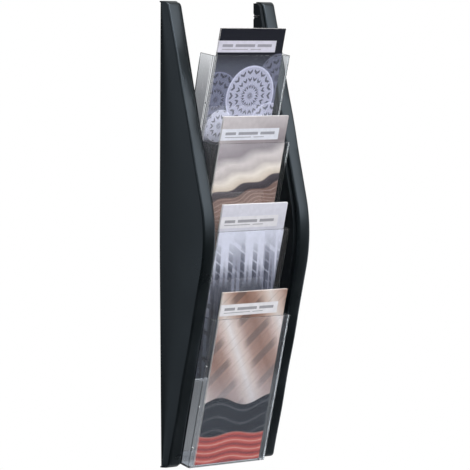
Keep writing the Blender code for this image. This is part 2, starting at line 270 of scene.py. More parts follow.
def soften(item: bpy.types.Object, width: float) -> None:
    """Adds a live Bevel that rounds the steep edges of a piece, and evens its shading.

    Args:
        item: The piece.
        width: Width of the round.
    """
    modifier = item.modifiers.new("soft_edges", "BEVEL")
    modifier.width = width
    modifier.segments = SOFT_STEPS
    modifier.limit_method = "ANGLE"
    modifier.angle_limit = math.radians(SOFT_LIMIT)
    modifier.use_clamp_overlap = True
    even_normals(item)


def add_block(shape: Mesh, low: Sequence[float], high: Sequence[float]) -> list[Vert]:
    """Adds a closed block to a bmesh.

    Args:
        shape: The bmesh to add to.
        low: The block's lowest corner.
        high: Its highest corner.

    Returns:
        The new vertices.
    """
    verts = bmesh.ops.create_cube(shape, size=1.0)["verts"]
    bmesh.ops.scale(shape, verts=verts, vec=Vector(high) - Vector(low))
    bmesh.ops.translate(shape, verts=verts, vec=(Vector(low) + Vector(high)) / 2)
    return verts


def add_rod(shape: Mesh, radius: float, low_x: float, high_x: float, out: float, up: float,
            bore: float = 0.0, bore_depth: float = 0.0) -> None:
    """Adds a closed rod along X, bored from its low end when a bore is given.

    Args:
        shape: The bmesh to add to.
        radius: The rod's radius.
        low_x: Its low end.
        high_x: Its high end.
        out: Distance of its axis from the wall.
        up: Height of its axis.
        bore: Radius of the bore.
        bore_depth: Depth of the bore.
    """
    verts = bmesh.ops.create_cone(shape, cap_ends=True, segments=ROD_STEPS, radius1=radius, radius2=radius,
                                  depth=high_x - low_x)["verts"]
    bmesh.ops.rotate(shape, verts=verts, matrix=Matrix.Rotation(math.pi / 2, 3, "Y"))
    bmesh.ops.translate(shape, verts=verts, vec=((low_x + high_x) / 2, -out, up))
    if bore > 0.0:
        mouth = [face for face in shape.faces if len(face.verts) == ROD_STEPS
                 and all(vert in verts and abs(vert.co.x - low_x) < TOUCH for vert in face.verts)]
        bmesh.ops.inset_region(shape, faces=mouth, thickness=radius - bore, use_even_offset=True)
        bottom = bmesh.ops.extrude_face_region(shape, geom=mouth)["geom"]
        bmesh.ops.translate(shape, vec=(bore_depth, 0.0, 0.0),
                            verts=[item for item in bottom if isinstance(item, Vert)])
        bmesh.ops.delete(shape, geom=mouth, context="FACES_ONLY")


def mirror_if_left(shape: Mesh, side: Side) -> None:
    """Mirrors a right-hand mesh for the left side and turns its faces back out.

    Args:
        shape: The mesh.
        side: The side that it is for.
    """
    if side is Side.LEFT:
        bmesh.ops.scale(shape, verts=shape.verts, vec=(-1.0, 1.0, 1.0))
        bmesh.ops.reverse_faces(shape, faces=shape.faces)


def edges_where(shape: Mesh, test: Callable[[Vector, Vector], bool]) -> list[Edge]:
    """The edges of a bmesh whose two ends pass a test."""
    return [edge for edge in shape.edges if test(edge.verts[0].co, edge.verts[1].co)]


def steep_edges(shape: Mesh, limit: float) -> list[Edge]:
    """The edges between two faces that turn by more than a limit in degrees."""
    shape.normal_update()
    return [edge for edge in shape.edges if edge.is_manifold and edge.calc_face_angle() > math.radians(limit)]


def round_edges(shape: Mesh, edges: list[Edge], width: float, segments: int) -> None:
    """Rounds the given edges of a bmesh."""
    bmesh.ops.bevel(shape, geom=edges, offset=width, offset_type="OFFSET", segments=segments, profile=0.5,
                    affect="EDGES", clamp_overlap=True, material=-1)


def cut_level(shape: Mesh, up: float, part: Optional[list] = None) -> None:
    """Adds a row of points to a bmesh at a height.

    Args:
        shape: The bmesh.
        up: The height.
        part: The vertices, edges and faces to cut, or None for all.
    """
    whole = shape.verts[:] + shape.edges[:] + shape.faces[:]
    bmesh.ops.bisect_plane(shape, geom=whole if part is None else part, dist=TOUCH,
                           plane_co=(0.0, 0.0, up), plane_no=(0.0, 0.0, 1.0))


def grow_rows(shape: Mesh, edges: list[Edge], rise: float) -> tuple[list[Vert], list[Edge]]:
    """Extrudes a chain of edges straight up.

    Args:
        shape: The bmesh.
        edges: The chain.
        rise: How far up the new row lies.

    Returns:
        The new row's vertices and edges.
    """
    grown = bmesh.ops.extrude_edge_only(shape, edges=edges)["geom"]
    verts = [item for item in grown if isinstance(item, Vert)]
    row = [item for item in grown if isinstance(item, Edge)
           and all(vert in verts for vert in item.verts)]
    bmesh.ops.translate(shape, verts=verts, vec=(0.0, 0.0, rise))
    return verts, row


# Node helpers


class Wiring:
    """Adds nodes to one node tree and links them."""

    def __init__(self, tree: bpy.types.NodeTree) -> None:
        """Keeps the tree that the nodes go into."""
        self.tree = tree

    def add(self, kind: str, **settings: object) -> bpy.types.Node:
        """Adds a node.

        Args:
            kind: Blender's name of the node's type.
            **settings: Values of the node's own properties.

        Returns:
            The node.
        """
        node = self.tree.nodes.new(kind)
        for name, value in settings.items():
            setattr(node, name, value)
        return node

    def feed(self, target: Socket, value: object) -> None:
        """Links a socket into the target, or sets the target's own value.

        Args:
            target: An input.
            value: A socket, a number, a vector or a colour.
        """
        if isinstance(value, bpy.types.NodeSocket):
            self.tree.links.new(value, target)
        elif isinstance(value, tuple) and len(value) == 3 and target.type == "RGBA":
            target.default_value = (*value, 1.0)
        else:
            target.default_value = value

    def maths(self, operation: str, first: Number, second: Number = 0.0, third: Number = 0.0,
              clamp: bool = False) -> Socket:
        """One Math node.

        Args:
            operation: Blender's name of the operation.
            first: First value or socket.
            second: Second value or socket.
            third: Third value or socket.
            clamp: Whether the result is held between 0 and 1.

        Returns:
            The result's socket.
        """
        node = self.add("ShaderNodeMath", operation=operation, use_clamp=clamp)
        for socket, value in zip(node.inputs, (first, second, third)):
            self.feed(socket, value)
        return node.outputs[0]

    def total(self, first: Number, *more: Number) -> Socket:
        """The sum of some values.

        Args:
            first: The first value.
            *more: The other values.

        Returns:
            The sum's socket.
        """
        for value in more:
            first = self.maths("ADD", first, value)
        return first

    def product(self, first: Number, *more: Number) -> Socket:
        """The product of some values.

        Args:
            first: The first value.
            *more: The other values.

        Returns:
            The product's socket.
        """
        for value in more:
            first = self.maths("MULTIPLY", first, value)
        return first

    def weighed(self, *terms: tuple[Socket, float]) -> Socket:
        """The sum of some values, each times its weight."""
        return self.total(*(self.product(value, weight) for value, weight in terms))

    def folded(self, value: Socket) -> Socket:
        """A value folded to and fro between 0 and a half."""
        return self.maths("PINGPONG", value, 0.5)

    def wave(self, value: Socket, height: float) -> Socket:
        """The sine of a value, times a height."""
        return self.product(self.maths("SINE", value), height)

    def within(self, value: Socket, low: float, high: float) -> Socket:
        """A mask that is 1 where a value lies between two bounds."""
        return self.product(self.maths("GREATER_THAN", value, low), self.maths("LESS_THAN", value, high))

    def span(self, value: Number, low: float, high: float, to_low: float = 0.0, to_high: float = 1.0,
             smooth: bool = False) -> Socket:
        """Maps a value from one range to another, held at its ends.

        Args:
            value: The value.
            low: Where its range starts.
            high: Where its range ends.
            to_low: What the start becomes.
            to_high: What the end becomes.
            smooth: Whether the change eases in and out.

        Returns:
            The result's socket.
        """
        node = self.add("ShaderNodeMapRange", clamp=True,
                        interpolation_type="SMOOTHSTEP" if smooth else "LINEAR")
        for socket, item in zip(node.inputs, (value, low, high, to_low, to_high)):
            self.feed(socket, item)
        return node.outputs[0]

    def mix(self, share: Number, first: object, second: object) -> Socket:
        """Mixes two colours.

        Args:
            share: How much of the second colour there is.
            first: First colour or socket.
            second: Second colour or socket.

        Returns:
            The mixed colour's socket.
        """
        node = self.add("ShaderNodeMix", data_type="RGBA", blend_type="MIX")
        factor, first_colour, second_colour = node.inputs[0], node.inputs[6], node.inputs[7]
        self.feed(factor, share)
        self.feed(first_colour, first)
        self.feed(second_colour, second)
        return node.outputs[2]

    def ramp(self, value: Socket, stops: Iterable[tuple[float, Colour]]) -> Socket:
        """A colour ramp over a value.

        Args:
            value: The value that picks the colour.
            stops: Place and colour of each stop, rising.

        Returns:
            The colour's socket.
        """
        node = self.add("ShaderNodeValToRGB")
        node.color_ramp.interpolation = "LINEAR"
        elements = node.color_ramp.elements
        listed = list(stops)
        while len(elements) < len(listed):
            elements.new(0.5)
        for element, (place, colour) in zip(elements, listed):
            element.position = place
            element.color = (*colour, 1.0)
        self.feed(node.inputs[0], value)
        return node.outputs[0]

    def noise(self, vector: Socket, scale: float, detail: float = 2.0, roughness: float = 0.5,
              distortion: float = 0.0) -> Socket:
        """The value of a 3-D noise.

        Args:
            vector: Where it is read.
            scale: Its pitch, in spots to the metre.
            detail: Finer layers over it.
            roughness: Weight of the finer layers.
            distortion: How far it is swirled.

        Returns:
            The value's socket.
        """
        node = self.add("ShaderNodeTexNoise", noise_dimensions="3D")
        self.feed(node.inputs["Vector"], vector)
        for name, value in (("Scale", scale), ("Detail", detail), ("Roughness", roughness),
                            ("Distortion", distortion)):
            node.inputs[name].default_value = value
        return node.outputs["Fac"]

    def placed(self, vector: Socket, scale: Sequence[float], turn: Sequence[float]) -> Socket:
        """A Mapping node on a vector.

        Args:
            vector: The vector.
            scale: How it is scaled.
            turn: How it is turned, in radians.

        Returns:
            The mapped vector's socket.
        """
        node = self.add("ShaderNodeMapping")
        self.feed(node.inputs["Vector"], vector)
        node.inputs["Rotation"].default_value = turn
        node.inputs["Scale"].default_value = scale
        return node.outputs[0]

    def axes(self, vector: Socket) -> tuple[Socket, Socket, Socket]:
        """Splits a vector.

        Args:
            vector: The vector.

        Returns:
            The sockets of its X, Y and Z.
        """
        node = self.add("ShaderNodeSeparateXYZ")
        self.feed(node.inputs[0], vector)
        return node.outputs[0], node.outputs[1], node.outputs[2]

    def point(self) -> Socket:
        """The Object coordinates, which are the rack's own."""
        return self.add("ShaderNodeTexCoord").outputs["Object"]

    def effect(self, group: bpy.types.NodeTree, **values: object) -> bpy.types.Node:
        """Places a shared effect.

        Args:
            group: The effect.
            **values: Its inputs' values here.

        Returns:
            The group's node.
        """
        node = self.add("ShaderNodeGroup", node_tree=group)
        for name, value in values.items():
            self.feed(node.inputs[name.replace("_", " ").capitalize()], value)
        return node

    def relief(self, height: Socket, distance: float, strength: float) -> Socket:
        """A Bump node.

        Args:
            height: The height that it shows.
            distance: How high a height of 1 stands.
            strength: How much of it shows.

        Returns:
            The normal's socket.
        """
        node = self.add("ShaderNodeBump")
        node.inputs["Strength"].default_value = strength
        node.inputs["Distance"].default_value = distance
        self.feed(node.inputs["Height"], height)
        return node.outputs["Normal"]


def new_group(name: str, inputs: Sequence[tuple[str, float]],
              outputs: Sequence[str]) -> tuple[Wiring, bpy.types.Node, bpy.types.Node]:
    """Starts a shader node group of numbers.

    Args:
        name: Name of the group.
        inputs: Name and first value of each number it takes.
        outputs: Name of each number it puts out.

    Returns:
        Its wiring, and its input and output nodes.
    """
    tree = bpy.data.node_groups.new(name, "ShaderNodeTree")
    for label, value in inputs:
        socket = tree.interface.new_socket(name=label, in_out="INPUT", socket_type="NodeSocketFloat")
        socket.default_value = value
    for label in outputs:
        tree.interface.new_socket(name=label, in_out="OUTPUT", socket_type="NodeSocketFloat")
    wiring = Wiring(tree)
    return wiring, wiring.add("NodeGroupInput"), wiring.add("NodeGroupOutput")


def grain_group() -> bpy.types.NodeTree:
    """Moulded grain: a fine pebbled height with a slow cloud of shade over it.

    Returns:
        The group.
    """
    wiring, given, made = new_group("moulded_grain", (("Pitch", 0.6), ("Cloud", 0.03)), ("Height", "Shade"))
    point = wiring.point()
    pebbles = wiring.add("ShaderNodeTexVoronoi", feature="SMOOTH_F1")
    pebbles.inputs["Smoothness"].default_value = 0.6
    wiring.feed(pebbles.inputs["Vector"], point)
    wiring.feed(pebbles.inputs["Scale"], wiring.maths("DIVIDE", 1.0 / MM, given.outputs["Pitch"]))
    tiny = wiring.noise(point, 2600.0, detail=3.0)
    wiring.feed(made.inputs["Height"], wiring.total(pebbles.outputs["Distance"], wiring.product(tiny, 0.6)))
    cloud = wiring.add("ShaderNodeTexNoise", noise_dimensions="3D")
    cloud.inputs["Detail"].default_value = 4.0
    wiring.feed(cloud.inputs["Vector"], point)
    wiring.feed(cloud.inputs["Scale"], wiring.maths("DIVIDE", 1.0, given.outputs["Cloud"]))
    wiring.feed(made.inputs["Shade"], wiring.span(cloud.outputs["Fac"], 0.3, 0.7, smooth=True))
    return wiring.tree


def wear_group() -> bpy.types.NodeTree:
    """Rubbed edges: a mask that is strong where the surface turns sharply and broken up by noise.

    Returns:
        The group.
    """
    wiring, given, made = new_group("rubbed_edges", (("Breaks", 0.45),), ("Mask",))
    rounded = wiring.add("ShaderNodeBevel", samples=4)
    rounded.inputs["Radius"].default_value = 0.8 * MM
    flat = wiring.add("ShaderNodeNewGeometry")
    likeness = wiring.add("ShaderNodeVectorMath", operation="DOT_PRODUCT")
    wiring.feed(likeness.inputs[0], rounded.outputs["Normal"])
    wiring.feed(likeness.inputs[1], flat.outputs["Normal"])
    turned = wiring.span(likeness.outputs["Value"], 0.995, 0.86)
    patchy = wiring.noise(wiring.point(), 160.0, detail=5.0, roughness=0.65)
    broken = wiring.maths("SUBTRACT", patchy, given.outputs["Breaks"])
    wiring.feed(made.inputs["Mask"], wiring.product(turned, wiring.span(broken, 0.0, 0.14, smooth=True)))
    return wiring.tree


def dust_group() -> bpy.types.NodeTree:
    """Settled dust: a mask on faces that look up, with specks.

    Returns:
        The group.
    """
    wiring, given, made = new_group("settled_dust", (("Amount", 0.5),), ("Mask",))
    geometry = wiring.add("ShaderNodeNewGeometry")
    upward = wiring.axes(geometry.outputs["Normal"])[2]
    point = wiring.point()
    film = wiring.noise(point, 70.0, detail=5.0, roughness=0.6)
    layer = wiring.product(wiring.span(upward, 0.15, 0.95), film)
    specks = wiring.span(wiring.noise(point, 900.0), 0.72, 0.8, smooth=True)
    total = wiring.total(layer, wiring.product(specks, 0.25))
    wiring.feed(made.inputs["Mask"], wiring.maths("MULTIPLY", total, given.outputs["Amount"], clamp=True))
    return wiring.tree


def scratch_group() -> bpy.types.NodeTree:
    """Fine handling scratches: a mask of thin lines along two slanted directions.

    Returns:
        The group.
    """
    wiring, given, made = new_group("handling_scratches", (("Density", 0.5),), ("Mask",))
    point = wiring.point()
    lines = []
    for turn, scale in ((0.35, 900.0), (-0.8, 700.0)):
        stretched = wiring.placed(point, scale=(1.0, 1.0, 0.035), turn=(turn, turn / 2, 0.0))
        streak = wiring.noise(stretched, scale, roughness=0.4)
        lines.append(wiring.span(streak, 0.66, 0.72, smooth=True))
    both = wiring.maths("MAXIMUM", lines[0], lines[1])
    patches = wiring.span(wiring.noise(point, 45.0, detail=3.0), 0.45, 0.65, smooth=True)
    wiring.feed(made.inputs["Mask"], wiring.maths("MULTIPLY", wiring.product(both, patches),
                                                  given.outputs["Density"], clamp=True))
    return wiring.tree


def fibre_group() -> bpy.types.NodeTree:
    """Paper: the height of felted fibres and a faint mottle.

    Returns:
        The group.
    """
    wiring, given, made = new_group("paper_fibre", (("Length", 1.0),), ("Height", "Mottle"))
    scaled = wiring.add("ShaderNodeVectorMath", operation="SCALE")
    wiring.feed(scaled.inputs[0], wiring.point())
    wiring.feed(scaled.inputs["Scale"], wiring.maths("DIVIDE", 1.0, given.outputs["Length"]))
    felt = wiring.noise(scaled.outputs[0], 1800.0, detail=4.0, roughness=0.6, distortion=0.4)
    wiring.feed(made.inputs["Height"], felt)
    mottle = wiring.noise(scaled.outputs[0], 240.0, detail=4.0)
    wiring.feed(made.inputs["Mottle"], wiring.span(mottle, 0.35, 0.65))
    return wiring.tree


@dataclass
class Effects:
    """The shared effects, each built once."""

    grain: bpy.types.NodeTree = field(default_factory=grain_group)
    wear: bpy.types.NodeTree = field(default_factory=wear_group)
    dust: bpy.types.NodeTree = field(default_factory=dust_group)
    scratches: bpy.types.NodeTree = field(default_factory=scratch_group)
    fibre: bpy.types.NodeTree = field(default_factory=fibre_group)


def start_material(name: str) -> tuple[Material, Wiring, bpy.types.Node]:
    """Starts a Principled material.

    Args:
        name: Name of the material.

    Returns:
        The material, its wiring and its shader.
    """
    material = bpy.data.materials.new(name)
    material.use_nodes = True
    return material, Wiring(material.node_tree), material.node_tree.nodes["Principled BSDF"]


# Finishes


@dataclass(frozen=True)
class MouldedPlastic:
    """Black moulded plastic with a fine grain, rubbed edges and a little dust."""

    name: str
    colour: Colour
    lighter: Colour
    worn: Colour
    roughness: float
    grain_pitch: float
    grain_depth: float
    dust: float
    gloss: float = 0.5
    sheen_tint: Colour = (0.72, 0.86, 1.0)
    dust_tone: Colour = (0.16, 0.16, 0.15)
    cloud: float = 0.05
    breaks: float = 0.47
    scratching: float = 0.5
    smoother: float = 0.03
    rougher: float = 0.04
    rub_polish: float = 0.12
    scratch_dulling: float = 0.12
    dust_dulling: float = 0.4
    grain_strength: float = 0.5

    def make(self, effects: Effects) -> Material:
        """Builds the material.

        Args:
            effects: The shared effects.

        Returns:
            The material.
        """
        material, wiring, shader = start_material(self.name)
        wiring.feed(shader.inputs["Specular Tint"], self.sheen_tint)
        wiring.feed(shader.inputs["Specular IOR Level"], self.gloss)
        grain = wiring.effect(effects.grain, pitch=self.grain_pitch, cloud=self.cloud)
        shade = grain.outputs["Shade"]
        wear = wiring.effect(effects.wear, breaks=self.breaks).outputs["Mask"]
        dust = wiring.effect(effects.dust, amount=self.dust).outputs["Mask"]
        scratches = wiring.effect(effects.scratches, density=self.scratching).outputs["Mask"]
        body = wiring.mix(shade, self.colour, self.lighter)
        rubbed = wiring.mix(wear, body, self.worn)
        wiring.feed(shader.inputs["Base Color"], wiring.mix(dust, rubbed, self.dust_tone))
        cloudy = wiring.span(shade, 0.0, 1.0, self.roughness - self.smoother, self.roughness + self.rougher)
        smoothed = wiring.maths("SUBTRACT", cloudy, wiring.product(wear, self.rub_polish))
        scratched = wiring.total(smoothed, wiring.product(scratches, self.scratch_dulling))
        dulled = wiring.maths("ADD", scratched, wiring.product(dust, self.dust_dulling), clamp=True)
        wiring.feed(shader.inputs["Roughness"], dulled)
        wiring.feed(shader.inputs["Normal"], wiring.relief(grain.outputs["Height"], self.grain_depth,
                                                           self.grain_strength))
        return material


@dataclass(frozen=True)
class ClearStyrene:
    """Clear hard plastic that bends light, with fine scratches and specks of dust."""

    name: str
    haze: float
    colour: Colour
    roughness: float = 0.02
    index: float = 1.57
    scratching: float = 0.35
    dust: float = 0.15
    mark_tone: Colour = (0.80, 0.81, 0.82)
    mark_roughness: float = 0.35
    shadow_tone: Colour = (0.90, 0.91, 0.915)

    def make(self, effects: Effects) -> Material:
        """Builds the material, with a clear stand-in for the rays from lamps.

        Args:
            effects: The shared effects.

        Returns:
            The material.
        """
        material, wiring, shader = start_material(self.name)
        # The haze is partly painted reflection: it paints a milky veil of reflected light, stronger and bluer
        # on the lower tiers
        wiring.feed(shader.inputs["Transmission Weight"], 1.0 - self.haze)
        wiring.feed(shader.inputs["IOR"], self.index)
        scratches = wiring.effect(effects.scratches, density=self.scratching)
        dust = wiring.effect(effects.dust, amount=self.dust)
        marked = wiring.maths("MAXIMUM", scratches.outputs["Mask"], dust.outputs["Mask"])
        wiring.feed(shader.inputs["Base Color"], wiring.mix(marked, self.colour, self.mark_tone))
        wiring.feed(shader.inputs["Roughness"],
                    wiring.span(marked, 0.0, 1.0, self.roughness, self.mark_roughness))
        open_shader = wiring.add("ShaderNodeBsdfTransparent")
        wiring.feed(open_shader.inputs["Color"], self.shadow_tone)
        path = wiring.add("ShaderNodeLightPath")
        chosen = wiring.add("ShaderNodeMixShader")
        for socket, value in zip(chosen.inputs, (path.outputs["Is Shadow Ray"], shader.outputs[0],
                                                 open_shader.outputs[0])):
            wiring.feed(socket, value)
        wiring.feed(material.node_tree.nodes["Material Output"].inputs["Surface"], chosen.outputs[0])
        return material


@dataclass(frozen=True)
class PlatedSteel:
    """Zinc-plated steel with a mottled sheen and rubbed edges."""

    name: str
    colour: Colour
    tarnish: Colour
    roughness: float
    worn: Colour = (0.75, 0.75, 0.74)
    grain_pitch: float = 0.9
    grain_depth: float = 0.03 * MM
    grain_strength: float = 0.3
    cloud: float = 0.004
    breaks: float = 0.4
    smoother: float = 0.08
    rougher: float = 0.1

    def make(self, effects: Effects) -> Material:
        """Builds the material.

        Args:
            effects: The shared effects.

        Returns:
            The material.
        """
        material, wiring, shader = start_material(self.name)
        wiring.feed(shader.inputs["Metallic"], 1.0)
        grain = wiring.effect(effects.grain, pitch=self.grain_pitch, cloud=self.cloud)
        shade = grain.outputs["Shade"]
        wear = wiring.effect(effects.wear, breaks=self.breaks)
        mottled = wiring.mix(shade, self.colour, self.tarnish)
        wiring.feed(shader.inputs["Base Color"], wiring.mix(wear.outputs["Mask"], mottled, self.worn))
        wiring.feed(shader.inputs["Roughness"], wiring.span(shade, 0.0, 1.0, self.roughness - self.smoother,
                                                            self.roughness + self.rougher))
        wiring.feed(shader.inputs["Normal"], wiring.relief(grain.outputs["Height"], self.grain_depth,
                                                           self.grain_strength))
        return material


@dataclass(frozen=True)
class PlainPaper:
    """Uncoated white paper, as on the leaflets' cut edges and backs."""

    name: str = "leaflet_paper"
    colour: Colour = (0.86, 0.85, 0.84)
    mottle: float = 0.93
    roughness: tuple[float, float] = (0.62, 0.72)
    fibre_length: float = 1.0
    fibre_depth: float = 0.02 * MM
    fibre_strength: float = 0.5

    def make(self, effects: Effects) -> Material:
        """Builds the material.

        Args:
            effects: The shared effects.

        Returns:
            The material.
        """
        material, wiring, shader = start_material(self.name)
        fibre = wiring.effect(effects.fibre, length=self.fibre_length)
        mottle = fibre.outputs["Mottle"]
        shade = tuple(value * self.mottle for value in self.colour)
        wiring.feed(shader.inputs["Base Color"], wiring.mix(mottle, self.colour, shade))
        wiring.feed(shader.inputs["Roughness"], wiring.span(mottle, 0.0, 1.0, *self.roughness))
        wiring.feed(shader.inputs["Normal"], wiring.relief(fibre.outputs["Height"], self.fibre_depth,
                                                           self.fibre_strength))
        return material


@dataclass(frozen=True)
class Disc:
    """A disc of rings and petals: its centre in u and v, its radius in u, and its pale tone."""

    place: tuple[float, float]
    radius: float
    petals: float
    shade: Colour
    weight: float


@dataclass(frozen=True)
class BarRow:
    """A row of slanted bars: bars and cuts to the sheet, the heights it fades between, and its tone."""

    count: float
    phase: float
    cuts: float
    low: float
    high: float
    tone: Colour
    weight: float


DISCS = (
    Disc((0.08, 0.60), 0.34, 14.0, (0.16, 0.165, 0.24), 0.8),
    Disc((0.98, 0.72), 0.30, 12.0, (0.15, 0.155, 0.22), 0.75),
    Disc((0.60, 0.62), 0.37, 18.0, (0.42, 0.42, 0.53), 0.95),
    Disc((0.20, 0.45), 0.20, 10.0, (0.60, 0.60, 0.70), 0.85),
    Disc((0.93, 0.46), 0.26, 12.0, (0.46, 0.46, 0.57), 0.85))
BAR_ROWS = (
    BarRow(2.1, 0.30, 7.0, 0.62, 0.90, (0.24, 0.245, 0.31), 0.80),
    BarRow(5.3, 0.12, 19.0, 0.60, 0.84, (0.085, 0.090, 0.125), 0.90),
    BarRow(11.0, 0.55, 31.0, 0.52, 0.72, (0.045, 0.048, 0.070), 0.90))
NIGHT_STOPS = (
    (0.0, (0.008, 0.009, 0.014)), (0.36, (0.011, 0.012, 0.019)), (0.40, (0.48, 0.48, 0.58)),
    (0.56, (0.16, 0.165, 0.22)), (0.78, (0.060, 0.064, 0.090)), (0.86, (0.011, 0.012, 0.020)),
    (1.0, (0.009, 0.010, 0.017)))
STRATA_STOPS = (
    (0.0, (0.13, 0.075, 0.06)), (0.30, (0.20, 0.115, 0.095)), (0.44, (0.26, 0.165, 0.14)),
    (0.555, (0.20, 0.125, 0.105)), (0.562, (0.040, 0.034, 0.042)), (0.605, (0.085, 0.072, 0.085)),
    (0.612, (0.62, 0.52, 0.43)), (0.66, (0.80, 0.73, 0.66)), (0.70, (0.52, 0.46, 0.45)),
    (0.745, (0.66, 0.60, 0.59)), (0.80, (0.30, 0.265, 0.285)), (0.87, (0.40, 0.355, 0.375)),
    (0.93, (0.54, 0.50, 0.52)), (1.0, (0.62, 0.58, 0.60)))
MIST_STOPS = (
    (0.0, (0.006, 0.007, 0.011)), (0.44, (0.010, 0.011, 0.018)), (0.515, (0.045, 0.048, 0.070)),
    (0.575, (0.27, 0.275, 0.34)), (0.66, (0.66, 0.66, 0.76)), (1.0, (0.76, 0.76, 0.85)))
PEACH_STOPS = (
    (0.0, (0.30, 0.165, 0.125)), (0.20, (0.42, 0.265, 0.215)), (0.36, (0.68, 0.53, 0.47)),
    (0.5, (0.82, 0.75, 0.72)))
FIRE_STOPS = (
    (0.0, (0.25, 0.05, 0.055)), (0.25, (0.55, 0.082, 0.070)), (0.42, (0.66, 0.17, 0.13)),
    (0.5, (0.74, 0.42, 0.36)))
# Start, end, foot and top of each grey bar on the title strip, in u and v
WORD_BARS = (
    (0.06, 0.22, 0.896, 0.912), (0.26, 0.56, 0.896, 0.912), (0.60, 0.82, 0.896, 0.912),
    (0.06, 0.46, 0.881, 0.885), (0.50, 0.66, 0.881, 0.885))


